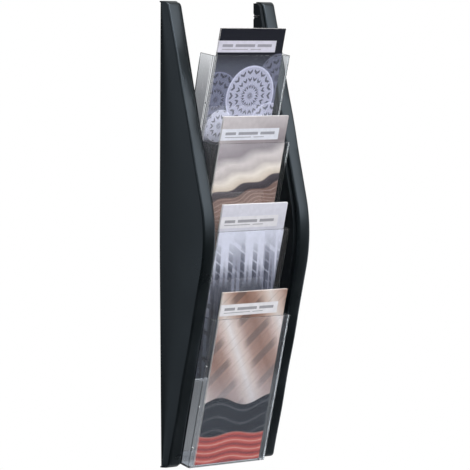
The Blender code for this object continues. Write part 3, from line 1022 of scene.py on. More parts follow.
@dataclass(frozen=True)
class PrintedPaper:
    """Coated paper with a generic design, read from the sheet's own map: u across and v up."""

    name: str
    motif: Motif
    strip_tone: Colour
    strip: tuple[float, float] = (0.866, 0.932)
    strip_end: float = 0.885
    word_tone: Colour = (0.20, 0.20, 0.23)
    word_weight: float = 0.72
    gloss: float = 0.22
    roughness: tuple[float, float] = (0.36, 0.44)
    fibre_length: float = 1.4
    fibre_depth: float = 0.01 * MM
    fibre_strength: float = 0.3
    fibre_shade: float = 0.08

    def rosette(self, wiring: Wiring, across: Socket, rising: Socket, ground: Socket, disc: Disc) -> Socket:
        """Lays one disc of rings and petals over a ground.

        Args:
            wiring: The material's wiring.
            across: The sheet's u.
            rising: The sheet's v.
            ground: The colour under the disc.
            disc: The disc.

        Returns:
            The colour with the disc on it.
        """
        side = wiring.maths("SUBTRACT", across, disc.place[0])
        lift = wiring.product(wiring.maths("SUBTRACT", rising, disc.place[1]), LEAFLET_HEIGHT / LEAFLET_WIDTH)
        far = wiring.maths("SQRT", wiring.total(wiring.product(side, side), wiring.product(lift, lift)))
        petal = wiring.folded(wiring.product(wiring.maths("ARCTAN2", side, lift), disc.petals / math.tau))
        ring = wiring.folded(wiring.weighed((far, 11.0), (petal, 0.9)))
        gaps = wiring.product(wiring.span(ring, 0.28, 0.36, smooth=True),
                              wiring.span(petal, 0.10, 0.17, smooth=True), 0.85)
        tone = wiring.mix(gaps, disc.shade, tuple(value * 0.12 for value in disc.shade))
        edge = wiring.span(far, disc.radius * 0.93, disc.radius * 0.95, 0.0, 0.8)
        tone = wiring.mix(edge, tone, tuple(min(1.0, value * 1.5) for value in disc.shade))
        cover = wiring.span(far, disc.radius, disc.radius - 0.012, 0.0, disc.weight)
        return wiring.mix(cover, ground, tone)

    def discs(self, wiring: Wiring, across: Socket, rising: Socket) -> Socket:
        """Overlapping lavender rosettes on a dark blue ground that pales toward the bottom.

        Args:
            wiring: The material's wiring.
            across: The sheet's u.
            rising: The sheet's v.

        Returns:
            The design's colour.
        """
        colour = wiring.ramp(rising, NIGHT_STOPS)
        for disc in DISCS:
            colour = self.rosette(wiring, across, rising, colour, disc)
        return colour

    def strata(self, wiring: Wiring, across: Socket, rising: Socket) -> Socket:
        """Slanted soft waves of mauve and cream, a dark one, and finely lined brown ones.

        Args:
            wiring: The material's wiring.
            across: The sheet's u.
            rising: The sheet's v.

        Returns:
            The design's colour.
        """
        slope = wiring.product(wiring.maths("SUBTRACT", across, 0.45), -0.11)
        ripple = wiring.wave(wiring.weighed((across, 11.0), (rising, 30.0)), 0.011)
        warped = wiring.total(slope, ripple, rising)
        waves = wiring.ramp(warped, STRATA_STOPS)
        bend = wiring.total(warped, wiring.wave(wiring.product(across, 7.0), 0.012))
        line = wiring.folded(wiring.product(bend, 42.0))
        lined = wiring.product(wiring.span(line, 0.30, 0.46, smooth=True),
                               wiring.span(warped, 0.560, 0.545), 0.55)
        return wiring.mix(lined, waves, (0.48, 0.37, 0.33))

    def bars(self, wiring: Wiring, across: Socket, rising: Socket) -> Socket:
        """Slanted grey bars, cut into short lengths, on a pale ground that darkens toward the bottom.

        Args:
            wiring: The material's wiring.
            across: The sheet's u.
            rising: The sheet's v.

        Returns:
            The design's colour.
        """
        colour = wiring.ramp(rising, MIST_STOPS)
        slanted = wiring.total(across, wiring.product(rising, 0.30))
        for row in BAR_ROWS:
            across_bars = wiring.folded(wiring.total(wiring.product(slanted, row.count), row.phase))
            along_bars = wiring.folded(wiring.weighed((rising, row.cuts), (across, row.count)))
            share = wiring.product(wiring.span(across_bars, 0.30, 0.33, smooth=True),
                                   wiring.span(along_bars, 0.06, 0.12, 0.25, 1.0, smooth=True),
                                   wiring.span(rising, row.high, row.low, smooth=True), row.weight)
            colour = wiring.mix(share, colour, row.tone)
        return colour

    def dunes(self, wiring: Wiring, across: Socket, rising: Socket) -> Socket:
        """Peach beams and facets over a dark slate band and red-orange waves.

        Args:
            wiring: The material's wiring.
            across: The sheet's u.
            rising: The sheet's v.

        Returns:
            The design's colour.
        """
        beam = wiring.folded(wiring.weighed((across, 1.25), (rising, 1.6)))
        warm = wiring.ramp(beam, PEACH_STOPS)
        cross = wiring.folded(wiring.weighed((rising, 5.2), (across, -2.3)))
        facet = wiring.product(wiring.span(cross, 0.335, 0.345), wiring.span(beam, 0.36, 0.22), 0.55)
        warm = wiring.mix(facet, warm, (0.115, 0.095, 0.095))
        offset = wiring.maths("ABSOLUTE", wiring.maths("SUBTRACT", cross, 0.17))
        warm = wiring.mix(wiring.span(offset, 0.012, 0.006, 0.0, 0.5), warm, (0.20, 0.15, 0.14))
        pale = wiring.mix(wiring.span(rising, 0.40, 0.58, 0.40, 0.0), warm, (0.55, 0.51, 0.53))
        crest = wiring.total(0.365, wiring.wave(wiring.product(across, 7.5), 0.026))
        below = wiring.maths("SUBTRACT", crest, rising)
        slate = wiring.mix(wiring.span(below, 0.0, 0.006), pale, (0.016, 0.021, 0.032))
        ridge = wiring.folded(wiring.product(below, 13.0))
        ridged = wiring.product(wiring.span(ridge, 0.36, 0.46, smooth=True),
                                wiring.span(below, 0.010, 0.018, 0.0, 0.6))
        slate = wiring.mix(ridged, slate, (0.10, 0.10, 0.12))
        surf = wiring.total(rising, wiring.wave(wiring.product(across, 9.0), 0.010))
        fire = wiring.ramp(wiring.folded(wiring.product(surf, 21.0)), FIRE_STOPS)
        return wiring.mix(wiring.span(surf, 0.172, 0.160), slate, fire)

    def titled(self, wiring: Wiring, across: Socket, rising: Socket, picture: Socket) -> Socket:
        """Lays a pale strip with grey bars, in place of words, over the design.

        Args:
            wiring: The material's wiring.
            across: The sheet's u.
            rising: The sheet's v.
            picture: The design's colour.

        Returns:
            The colour with the strip on it.
        """
        strip = wiring.product(wiring.within(rising, *self.strip),
                               wiring.maths("LESS_THAN", across, self.strip_end))
        colour = wiring.mix(strip, picture, self.strip_tone)
        for start, end, foot, top in WORD_BARS:
            bar = wiring.product(wiring.within(across, start, end), wiring.within(rising, foot, top),
                                 self.word_weight)
            colour = wiring.mix(bar, colour, self.word_tone)
        return colour

    def make(self, effects: Effects) -> Material:
        """Builds the material: the design, its strip and a sheen.

        Args:
            effects: The shared effects.

        Returns:
            The material.
        """
        material, wiring, shader = start_material(self.name)
        wiring.feed(shader.inputs["Specular IOR Level"], self.gloss)
        sheet = wiring.add("ShaderNodeUVMap", uv_map="sheet")
        across, rising, _ = wiring.axes(sheet.outputs["UV"])
        draw = {Motif.DISCS: self.discs, Motif.STRATA: self.strata, Motif.BARS: self.bars,
                Motif.DUNES: self.dunes}[self.motif]
        titled = self.titled(wiring, across, rising, draw(wiring, across, rising))
        fibre = wiring.effect(effects.fibre, length=self.fibre_length)
        mottle = fibre.outputs["Mottle"]
        inked = wiring.mix(wiring.span(mottle, 0.0, 1.0, 0.0, self.fibre_shade), titled, (0.0, 0.0, 0.0))
        wiring.feed(shader.inputs["Base Color"], inked)
        wiring.feed(shader.inputs["Roughness"], wiring.span(mottle, 0.0, 1.0, *self.roughness))
        wiring.feed(shader.inputs["Normal"], wiring.relief(fibre.outputs["Height"], self.fibre_depth,
                                                           self.fibre_strength))
        return material


Finish = Union[MouldedPlastic, ClearStyrene, PlatedSteel, PlainPaper, PrintedPaper]


@dataclass
class Palette:
    """Every finish on the rack, each made once."""

    effects: Effects = field(default_factory=Effects)
    made: dict[str, Material] = field(default_factory=dict)

    def get(self, finish: Finish) -> Material:
        """The material of a finish, made when it is first asked for.

        Args:
            finish: The finish.

        Returns:
            Its material.
        """
        if finish.name not in self.made:
            self.made[finish.name] = finish.make(self.effects)
        return self.made[finish.name]


COVER_BLACK = MouldedPlastic(
    "cover_black", colour=(0.0040, 0.0058, 0.0066), lighter=(0.0058, 0.0080, 0.0092),
    worn=(0.020, 0.024, 0.027), roughness=0.30, grain_pitch=0.55, grain_depth=0.020 * MM, dust=0.35)
PANEL_BLACK = MouldedPlastic(
    "panel_black", colour=(0.0022, 0.0032, 0.0038), lighter=(0.0034, 0.0046, 0.0054),
    worn=(0.016, 0.020, 0.023), roughness=0.50, grain_pitch=0.45, grain_depth=0.018 * MM, dust=0.15,
    gloss=0.22)
# Haze and tint of the pockets, from the top tier down, partly the plastic's own and partly painted
# reflection: the lower tiers' extra haze and bluer tint paint a bluish veil of reflected light
CLEAR_LOOKS_AND_PAINTED_VEIL = (
    (0.008, (0.955, 0.968, 0.980)), (0.008, (0.955, 0.968, 0.980)), (0.011, (0.945, 0.962, 0.982)),
    (0.024, (0.925, 0.950, 0.985)))
CLEARS = tuple(ClearStyrene(f"clear_styrene_{tier}", *look) for tier, look in enumerate(CLEAR_LOOKS_AND_PAINTED_VEIL, 1))
ZINC = PlatedSteel("zinc_plate", (0.50, 0.51, 0.52), (0.38, 0.385, 0.39), 0.34)
BLACK_ZINC = PlatedSteel("black_zinc_plate", (0.030, 0.031, 0.033), (0.018, 0.018, 0.020), 0.42)
PAPER = PlainPaper()
STRIP_TONES = ((0.66, 0.65, 0.75), (0.78, 0.80, 0.88), (0.83, 0.82, 0.87), (0.90, 0.89, 0.93))
PRINTS = tuple(PrintedPaper(f"print_{motif.value}", motif, tone) for motif, tone in zip(Motif, STRIP_TONES))


# Sub-assemblies


@dataclass
class ColumnCover:
    """The outer cover of one column: a bowed shell, open to the wall and to the inner panel."""

    side: Side
    wall: float = 2.2 * MM
    corner: float = 2.7 * MM
    inner_corner: float = 2.6 * MM
    corner_steps: int = 6
    edge_round: float = 0.35 * MM
    return_depth: float = 7.0 * MM
    flare: float = 0.03
    arc_steps: int = 40
    band_steps: int = 6
    wall_steps: int = 4
    band_crown: float = 0.22 * MM
    band_slope: float = 1.7 * MM
    warp_rows: int = 44
    warp_pitch: float = 85.0 * MM
    warp_flat: float = 442.5 * MM
    warp_start: float = 1.5
    wall_crown: float = 1.2 * MM
    screw_shares: tuple[float, ...] = (0.145, 0.497, 0.855)
    screw_out: float = 9.5 * MM
    boss_radius: float = 3.4 * MM
    boss_bore: float = 1.75 * MM
    boss_bore_depth: float = 8.0 * MM
    boss_gap: float = 1.6 * MM
    lip_reach: float = 1.4 * MM
    lip_height: float = 1.6 * MM
    lip_out: float = 5.0 * MM

    def section(self, reach: float) -> list[tuple[float, float]]:
        """The right cover's section at mid-height: round corners, slightly crowned band and outer wall.

        Args:
            reach: How far the front stands out there.

        Returns:
            The (x, out) points from the lip's end round to the wall.
        """
        turns = [math.pi / 2 * step / self.corner_steps for step in range(self.corner_steps)]
        band = [step / self.band_steps for step in range(self.band_steps + 1)]
        wall = [step / self.wall_steps for step in range(self.wall_steps + 1)]
        low, high = BAND_X + self.inner_corner, COVER_X - self.corner
        side = reach - self.corner
        return [(BAND_X, reach - self.return_depth),
                *((low - self.inner_corner * math.cos(turn),
                   reach - self.inner_corner * (1.0 - math.sin(turn))) for turn in turns),
                *((low + (high - low) * share, reach + self.band_crown * crown(share)) for share in band),
                *((high + self.corner * math.sin(turn), side + self.corner * math.cos(turn))
                  for turn in turns[1:]),
                *((COVER_X + self.wall_crown * crown(share), side * (1.0 - share)) for share in wall)]

    def close_end(self, shape: Mesh, end: list[Vert], section: list[tuple[float, float]]) -> None:
        """Closes one end of the shell with a flat face.

        Args:
            shape: The shell.
            end: The end's row of vertices.
            section: The shell's section.
        """
        rear = shape.verts.new((BAND_X, 0.0, end[0].co.z))
        lip_end, wall_end = (min(end, key=lambda vert: math.dist((vert.co.x, -vert.co.y), place))
                             for place in (section[0], section[-1]))
        ring = [edge for edge in shape.edges if edge.verts[0] in end and edge.verts[1] in end]
        ring += [shape.edges.new((wall_end, rear)), shape.edges.new((rear, lip_end))]
        bmesh.ops.contextual_create(shape, geom=ring)

    def skin(self) -> Mesh:
        """The right cover's outer surface: lip, band, outer wall and two ends, straight and then bowed.

        Returns:
            The open surface.
        """
        shape = bmesh.new()
        reach = front_out(RACK_HEIGHT / 2)
        section = self.section(reach)
        row = [shape.verts.new((x, -out, 0.0)) for x, out in section]
        edges = [shape.edges.new(pair) for pair in zip(row, row[1:])]
        ends = [row]
        heights = bow_heights(self.arc_steps)
        for low, high in zip(heights, heights[1:]):
            row, edges = grow_rows(shape, edges, high - low)
        ends.append(row)
        for end in ends:
            self.close_end(shape, end, section)
        front = reach - self.return_depth - MM
        for vert in shape.verts:
            out, face = -vert.co.y, front_out(vert.co.z)
            out += (face - reach) * min(1.0, out / front)
            if vert.co.x > BAND_X + MM:
                vert.co.x += self.flare * (face - out)
            vert.co.y = -out
        bmesh.ops.recalc_face_normals(shape, faces=shape.faces)
        return shape

    def add_walls(self, shape: Mesh) -> None:
        """Gives the surface its wall, slopes the band and rounds the ends of the front.

        Args:
            shape: The outer surface.
        """
        bmesh.ops.solidify(shape, geom=shape.faces[:], thickness=self.wall)
        bmesh.ops.recalc_face_normals(shape, faces=shape.faces)
        warp_levels = [RACK_HEIGHT * row / self.warp_rows for row in range(1, self.warp_rows)]
        for up in warp_levels + end_levels():
            cut_level(shape, up)
        for vert in shape.verts:
            behind = front_out(vert.co.z) + vert.co.y
            if vert.co.x > BAND_X - MM and behind < self.return_depth:
                share = min(1.0, (vert.co.x - BAND_X) / BAND_WIDTH) - 0.5
                vert.co.y -= self.band_slope * share * self.slope_share(vert.co.z)
            near = 1.0 - (behind - self.wall) / (self.return_depth - self.wall)
            vert.co.y += end_drop(vert.co.z) * min(1.0, max(0.0, near))

    def slope_share(self, up: float) -> float:
        """The share of the band's slope at a height: none on the arc, slow waves toward the ends.

        Args:
            up: The height.

        Returns:
            The share, from 0 upward.
        """
        beyond = abs(up - RACK_HEIGHT / 2) / (BOW_RADIUS * SIN) - self.warp_start
        wave = 0.5 - 0.5 * math.cos(math.tau * (up - self.warp_flat) / self.warp_pitch)
        return wave * min(1.0, max(0.0, beyond))

    def add_details(self, shape: Mesh) -> None:
        """Adds the screw bosses inside and the small lip at each end of the rear edge.

        Args:
            shape: The shell.
        """
        face = PANEL_X + PANEL_WALL + self.boss_gap
        inner_x = COVER_X - self.wall / 2
        for share in self.screw_shares:
            add_rod(shape, self.boss_radius, face, inner_x, self.screw_out, share * RACK_HEIGHT,
                    bore=self.boss_bore, bore_depth=self.boss_bore_depth)
        tip = COVER_X + self.flare * END_OUT + self.lip_reach
        for low, high in ((0.0, self.lip_height), (RACK_HEIGHT - self.lip_height, RACK_HEIGHT)):
            for vert in add_block(shape, (inner_x, -self.lip_out, low), (tip, 0.0, high)):
                if vert.co.x > COVER_X and -vert.co.y > self.lip_out / 2:
                    vert.co.x = inner_x + self.wall / 4

    def build(self, palette: Palette) -> bpy.types.Object:
        """Builds the cover in place of its solid.

        Args:
            palette: The finishes.

        Returns:
            The cover's object.
        """
        shape = self.skin()
        self.add_walls(shape)
        self.add_details(shape)
        mirror_if_left(shape, self.side)
        item = to_object(f"{self.side.word}_cover_shell", shape, [palette.get(COVER_BLACK)])
        soften(item, self.edge_round)
        return self.dress(item)

    def dress(self, item: bpy.types.Object) -> bpy.types.Object:
        """Joins the cover to the frame.

        Args:
            item: The cover.

        Returns:
            The cover.
        """
        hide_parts(f"{self.side.word}_outer_cover")
        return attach(item, "rack")


@dataclass
class RefinedSolid:
    """A finer copy of a solid: merged, its flat faces joined, and its edges or its front ends rounded."""

    node: str
    finish: Finish
    slot: str
    edge_round: float = 0.0
    coat: float = 0.0
    round_front: bool = False
    merge: float = 0.002 * MM
    flat_angle: float = 0.4
    front_band: float = 1.0 * MM
    rows_per_mm: float = 10.0

    def round_front_ends(self, shape: Mesh) -> None:
        """Rounds the front corner of each end of an upright solid, like the cover's.

        Args:
            shape: The solid's mesh.
        """
        for up in end_levels(PANEL_END):
            cut_level(shape, up)
        rows = [round(vert.co.z / MM * self.rows_per_mm) for vert in shape.verts]
        fronts: dict[int, float] = {}
        for vert, row in zip(shape.verts, rows):
            fronts[row] = min(vert.co.y, fronts.get(row, 0.0))
        for vert, row in zip(shape.verts, rows):
            if vert.co.y < fronts[row] + self.front_band:
                vert.co.y += end_drop(vert.co.z, PANEL_END)

    def add_coat(self, shape: Mesh) -> None:
        """Moves the faces out by the coat's thickness, but not along Y, so that the back stays on the wall.

        Args:
            shape: The solid's mesh.
        """
        for vert in shape.verts:
            grown = vert.normal * (vert.calc_shell_factor() * self.coat)
            vert.co += Vector((grown.x, 0.0, grown.z))

    def build(self, palette: Palette) -> bpy.types.Object:
        """Builds the copy in place of its solid.

        Args:
            palette: The finishes.

        Returns:
            The copy's object.
        """
        shape = bmesh.new()
        shape.from_mesh(frame["nodes"][self.node].data)
        bmesh.ops.remove_doubles(shape, verts=shape.verts, dist=self.merge)
        bmesh.ops.dissolve_limit(shape, angle_limit=math.radians(self.flat_angle), verts=shape.verts,
                                 edges=shape.edges, use_dissolve_boundaries=False)
        if self.round_front:
            self.round_front_ends(shape)
        for layer in list(shape.loops.layers.uv.values()):
            shape.loops.layers.uv.remove(layer)
        shape.normal_update()
        if self.coat:
            self.add_coat(shape)
        item = to_object(f"{self.node}_finished", shape, [palette.get(self.finish)], sharp_angle=30.0)
        if self.edge_round:
            soften(item, self.edge_round)
        else:
            even_normals(item)
        return self.dress(item)

    def dress(self, item: bpy.types.Object) -> bpy.types.Object:
        """Joins the copy to the frame.

        Args:
            item: The copy.

        Returns:
            The copy.
        """
        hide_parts(self.node)
        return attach(item, "rack")


@dataclass
class ClearPocket:
    """One clear pocket: front with nicked corners, two sides, floor, low back lip and four pegs."""

    tier: int
    corner_steps: int = 7
    edge_round: float = 0.4 * MM
    edge_steps: int = 3
    edge_limit: float = 48.0
    nick_drops: tuple[float, ...] = (56.0 * MM, 105.5 * MM, 155.0 * MM)
    nick_height: float = 1.8 * MM
    nick_depth: float = 1.3 * MM
    nick_ramp: float = 0.5
    skin_share: float = 0.9
    peg_radius: float = 2.0 * MM
    peg_length: float = 3.2 * MM
    peg_depth: float = 18.2 * MM
    peg_drops: tuple[float, ...] = (70.0 * MM, 155.0 * MM)

    def tub(self) -> Mesh:
        """The pocket in its own frame, open at its top and behind above the lip.

        Returns:
            The mesh, with its walls.
        """
        shape = bmesh.new()
        lip = POCKET_FLOOR + BACK_LIP
        for vert in add_block(shape, (-POCKET_HALF, 0.0, 0.0), (POCKET_HALF, TOP_DEPTH, FRONT_HEIGHT)):
            if vert.co.y > TOP_DEPTH / 2:
                if vert.co.z < FRONT_HEIGHT / 2:
                    vert.co.y = BASE_DEPTH
                else:
                    vert.co.z -= SIDE_DROP
        cut_level(shape, lip)
        shape.normal_update()
        gone = [face for face in shape.faces if face.normal.z > FACING
                or (face.normal.y > FACING and face.calc_center_median().z > lip)]
        bmesh.ops.delete(shape, geom=gone, context="FACES_ONLY")
        bmesh.ops.recalc_face_normals(shape, faces=shape.faces)
        bmesh.ops.solidify(shape, geom=shape.faces[:], thickness=POCKET_WALL)
        bmesh.ops.recalc_face_normals(shape, faces=shape.faces)
        return shape

    def round_corners(self, shape: Mesh) -> None:
        """Rounds the front corners outside and inside, then every edge of the tub.

        Args:
            shape: The tub.
        """
        inner_x, tiny = POCKET_HALF - POCKET_WALL, MM / 10

        def along(x: float, depth: float) -> Callable[[Vector, Vector], bool]:
            """A test for edges that run up the front at a place in the section."""
            return lambda a, b: a.x * b.x > 0.0 and all(
                abs(abs(p.x) - x) < tiny and abs(p.y - depth) < tiny for p in (a, b))

        round_edges(shape, edges_where(shape, along(POCKET_HALF, 0.0)), POCKET_CORNER, self.corner_steps)
        round_edges(shape, edges_where(shape, along(inner_x, POCKET_WALL)), POCKET_CORNER - POCKET_WALL,
                    self.corner_steps - 2)
        round_edges(shape, steep_edges(shape, self.edge_limit), self.edge_round, self.edge_steps)
        bmesh.ops.delete(shape, geom=[edge for edge in shape.edges if edge.is_wire], context="EDGES")

    def on_corner(self, point: Vector) -> bool:
        """Tells whether a point of the tub lies on the round outside of a front corner.

        Args:
            point: The point.

        Returns:
            Whether it does.
        """
        side = POCKET_HALF - abs(point.x)
        far = math.dist((side, point.y), (POCKET_CORNER, POCKET_CORNER))
        return side < POCKET_CORNER and point.y < POCKET_CORNER and far > POCKET_CORNER * self.skin_share

    def cut_nicks(self, shape: Mesh) -> None:
        """Presses small V-shaped nicks into each front corner.

        Args:
            shape: The tub.
        """
        for drop in self.nick_drops:
            middle = FRONT_HEIGHT - drop
            for up in (middle - self.nick_height / 2, middle, middle + self.nick_height / 2):
                corner = [face for face in shape.faces if self.on_corner(face.calc_center_median())]
                cut_level(shape, up, [*corner, *{edge for face in corner for edge in face.edges},
                                      *{vert for face in corner for vert in face.verts}])
            for vert in shape.verts:
                depth_in = POCKET_CORNER - min(POCKET_CORNER, POCKET_HALF - abs(vert.co.x)) - vert.co.y
                if abs(vert.co.z - middle) < TOUCH and self.on_corner(vert.co) and depth_in > 0.0:
                    share = min(1.0, depth_in / (POCKET_CORNER * self.nick_ramp))
                    push = self.nick_depth * share * math.sqrt(0.5)
                    vert.co.x -= math.copysign(push, vert.co.x)
                    vert.co.y += push

    def add_pegs(self, shape: Mesh) -> None:
        """Adds the pegs that stand in the panels' holes.

        Args:
            shape: The tub.
        """
        for side in Side:
            low_x, high_x = sorted((side.value * (POCKET_HALF - POCKET_WALL / 2),
                                    side.value * (POCKET_HALF + self.peg_length)))
            for drop in self.peg_drops:
                add_rod(shape, self.peg_radius, low_x, high_x, -self.peg_depth, FRONT_HEIGHT - drop)

    def build(self, palette: Palette) -> bpy.types.Object:
        """Builds the pocket in place of its solid.

        Args:
            palette: The finishes.

        Returns:
            The pocket's object.
        """
        shape = self.tub()
        self.round_corners(shape)
        self.cut_nicks(shape)
        self.add_pegs(shape)
        bmesh.ops.transform(shape, matrix=pocket_place(TIER_HEIGHTS[self.tier]), verts=shape.verts)
        item = to_object(f"clear_pocket_{self.tier + 1}", shape, [palette.get(CLEARS[self.tier])],
                         sharp_angle=32.0)
        even_normals(item)
        return self.dress(item)

    def dress(self, item: bpy.types.Object) -> bpy.types.Object:
        """Joins the pocket to the frame.

        Args:
            item: The pocket.

        Returns:
            The pocket.
        """
        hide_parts(f"pocket_{self.tier + 1}")
        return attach(item, "rack")


@dataclass
class LeafletPile:
    """The folded leaflets in one pocket, standing on its floor against its front."""

    tier: int
    leaflets: int = 7
    paper: float = 0.09 * MM
    fold_step: float = 0.115 * MM
    panels: int = 3
    rows: int = 12
    slip: float = 0.35
    lift: float = 0.25
    curl: float = 0.25
    curl_spread: float = 0.03
    curl_start: float = 0.55
    seed: int = 40

    def zigzag(self, left: float, near: float) -> list[tuple[float, float]]:
        """The section of one folded leaflet.

        Args:
            left: X of its left edge.
            near: Depth of its printed face.

        Returns:
            The (x, depth) points from the free end of its front panel on.
        """
        right, fold = left + LEAFLET_WIDTH, self.fold_step / 2
        line = []
        for panel in range(self.panels):
            depth = near + self.paper / 2 + panel * self.fold_step
            start, end = (left, right) if panel % 2 == 0 else (right, left)
            inward = math.copysign(fold, end - start)
            line += [(start + (inward if panel else 0.0), depth),
                     (end - (inward if panel < self.panels - 1 else 0.0), depth)]
            if panel < self.panels - 1:
                line.append((end, depth + fold))
        return line

    def leaflet(self, shape: Mesh, left: float, near: float, low: float, curl: float) -> None:
        """Adds one zigzag-folded leaflet in the pocket's frame.

        Args:
            shape: The bmesh to add to.
            left: X of its left edge.
            near: Depth of its printed face.
            low: Height of its bottom edge.
            curl: How far its top edge leans forward of its lower part.
        """
        sheet = shape.loops.layers.uv.get("sheet") or shape.loops.layers.uv.new("sheet")
        verts = [shape.verts.new((x, depth, low)) for x, depth in self.zigzag(left, near)]
        edges = [shape.edges.new(pair) for pair in zip(verts, verts[1:])]
        for _ in range(self.rows):
            row, edges = grow_rows(shape, edges, LEAFLET_HEIGHT / self.rows)
            verts += row
        faces = list({face for vert in verts for face in vert.link_faces})
        bmesh.ops.recalc_face_normals(shape, faces=faces)
        printed = near + self.paper / 2
        front = [face for face in faces if abs(face.calc_center_median().y - printed) < TOUCH]
        if front and front[0].normal.y > 0.0:
            bmesh.ops.reverse_faces(shape, faces=faces)
        for face in faces:
            face.material_index = 0 if face in front else 1
            for loop in face.loops:
                loop[sheet].uv = ((loop.vert.co.x - left) / LEAFLET_WIDTH,
                                  (loop.vert.co.z - low) / LEAFLET_HEIGHT)
        for vert in verts:
            rise = max(0.0, (vert.co.z - low) / LEAFLET_HEIGHT - self.curl_start) / (1.0 - self.curl_start)
            vert.co.y -= curl * rise * rise

    def build(self, palette: Palette) -> bpy.types.Object:
        """Builds the pile in place of its solid.

        Args:
            palette: The finishes.

        Returns:
            The pile's object.
        """
        dice = random.Random(self.seed + self.tier)
        shape = bmesh.new()
        low = POCKET_FLOOR + SEAT_GAP
        near = POCKET_WALL + SEAT_GAP
        step = PILE_THICKNESS / self.leaflets
        left = PILE_SHIFTS[self.tier] - LEAFLET_WIDTH / 2
        for number in range(self.leaflets):
            slip = 0.0 if number == 0 else dice.uniform(-self.slip, self.slip) * MM
            lift = 0.0 if number == 0 else dice.uniform(0.0, self.lift) * MM
            curl = ((1.0 - number / self.leaflets) * self.curl * MM
                    + dice.uniform(-self.curl_spread, self.curl_spread) * MM)
            self.leaflet(shape, left + slip, near + number * step, low + lift, curl)
        bmesh.ops.transform(shape, matrix=pocket_place(TIER_HEIGHTS[self.tier]), verts=shape.verts)
        shape.edges.index_update()
        rims = [edge.index for edge in shape.edges if edge.is_boundary]
        item = to_object(f"leaflet_pile_{self.tier + 1}", shape,
                         [palette.get(PRINTS[self.tier]), palette.get(PAPER)])
        for rim in rims:
            item.data.edges[rim].use_edge_sharp = True
        thickness = item.modifiers.new("paper", "SOLIDIFY")
        thickness.thickness = self.paper
        thickness.offset = 0.0
        return self.dress(item)

    def dress(self, item: bpy.types.Object) -> bpy.types.Object:
        """Joins the pile to the frame.

        Args:
            item: The pile.

        Returns:
            The pile.
        """
        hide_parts(f"leaflets_{self.tier + 1}")
        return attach(item, f"pile_{self.tier + 1}")


# Studio


@dataclass(frozen=True)
class SoftLight:
    """A square lamp that looks at the rack: degrees round from its front and up, metres and watts."""

    name: str
    azimuth: float
    elevation: float
    distance: float
    size: float
    power: float


@dataclass(frozen=True)
class DarkField:
    """A darker part of the surroundings: its way in X and Y, where it starts and ends, and its level."""

    way: tuple[float, float]
    start: float
    end: float
    least: float


LAMPS = (
    SoftLight("soft_front_right", 32.0, 24.0, 1.9, 1.2, 13.4),
    SoftLight("soft_front_left", -14.0, 50.0, 2.0, 1.4, 46.0),
    SoftLight("soft_left", -80.0, 42.0, 2.0, 1.2, 16.0))
DARK_FIELDS = (
    DarkField((-0.276, 0.961), 0.74, 0.97, 0.12),
    DarkField((0.0, 1.0), 0.1, -0.5, 0.45),
    DarkField((-0.60, -0.80), 0.0, 0.75, 0.25),
    DarkField((0.95, -0.31), 0.45, 0.9, 0.35),
    DarkField((-0.94, -0.34), 0.62, 0.84, 0.06))
# The studio's brightness from straight below to straight above
HEIGHT_STOPS = (
    (0.0, (0.05, 0.055, 0.06)), (0.36, (0.07, 0.075, 0.08)), (0.437, (0.24, 0.248, 0.26)),
    (0.452, (0.125, 0.132, 0.14)), (0.485, (0.16, 0.165, 0.175)), (0.4925, (0.27, 0.275, 0.29)),
    (0.4958, (0.45, 0.455, 0.47)), (0.4988, (0.90, 0.905, 0.92)), (0.6, (0.70, 0.71, 0.73)),
    (1.0, (0.55, 0.56, 0.58)))


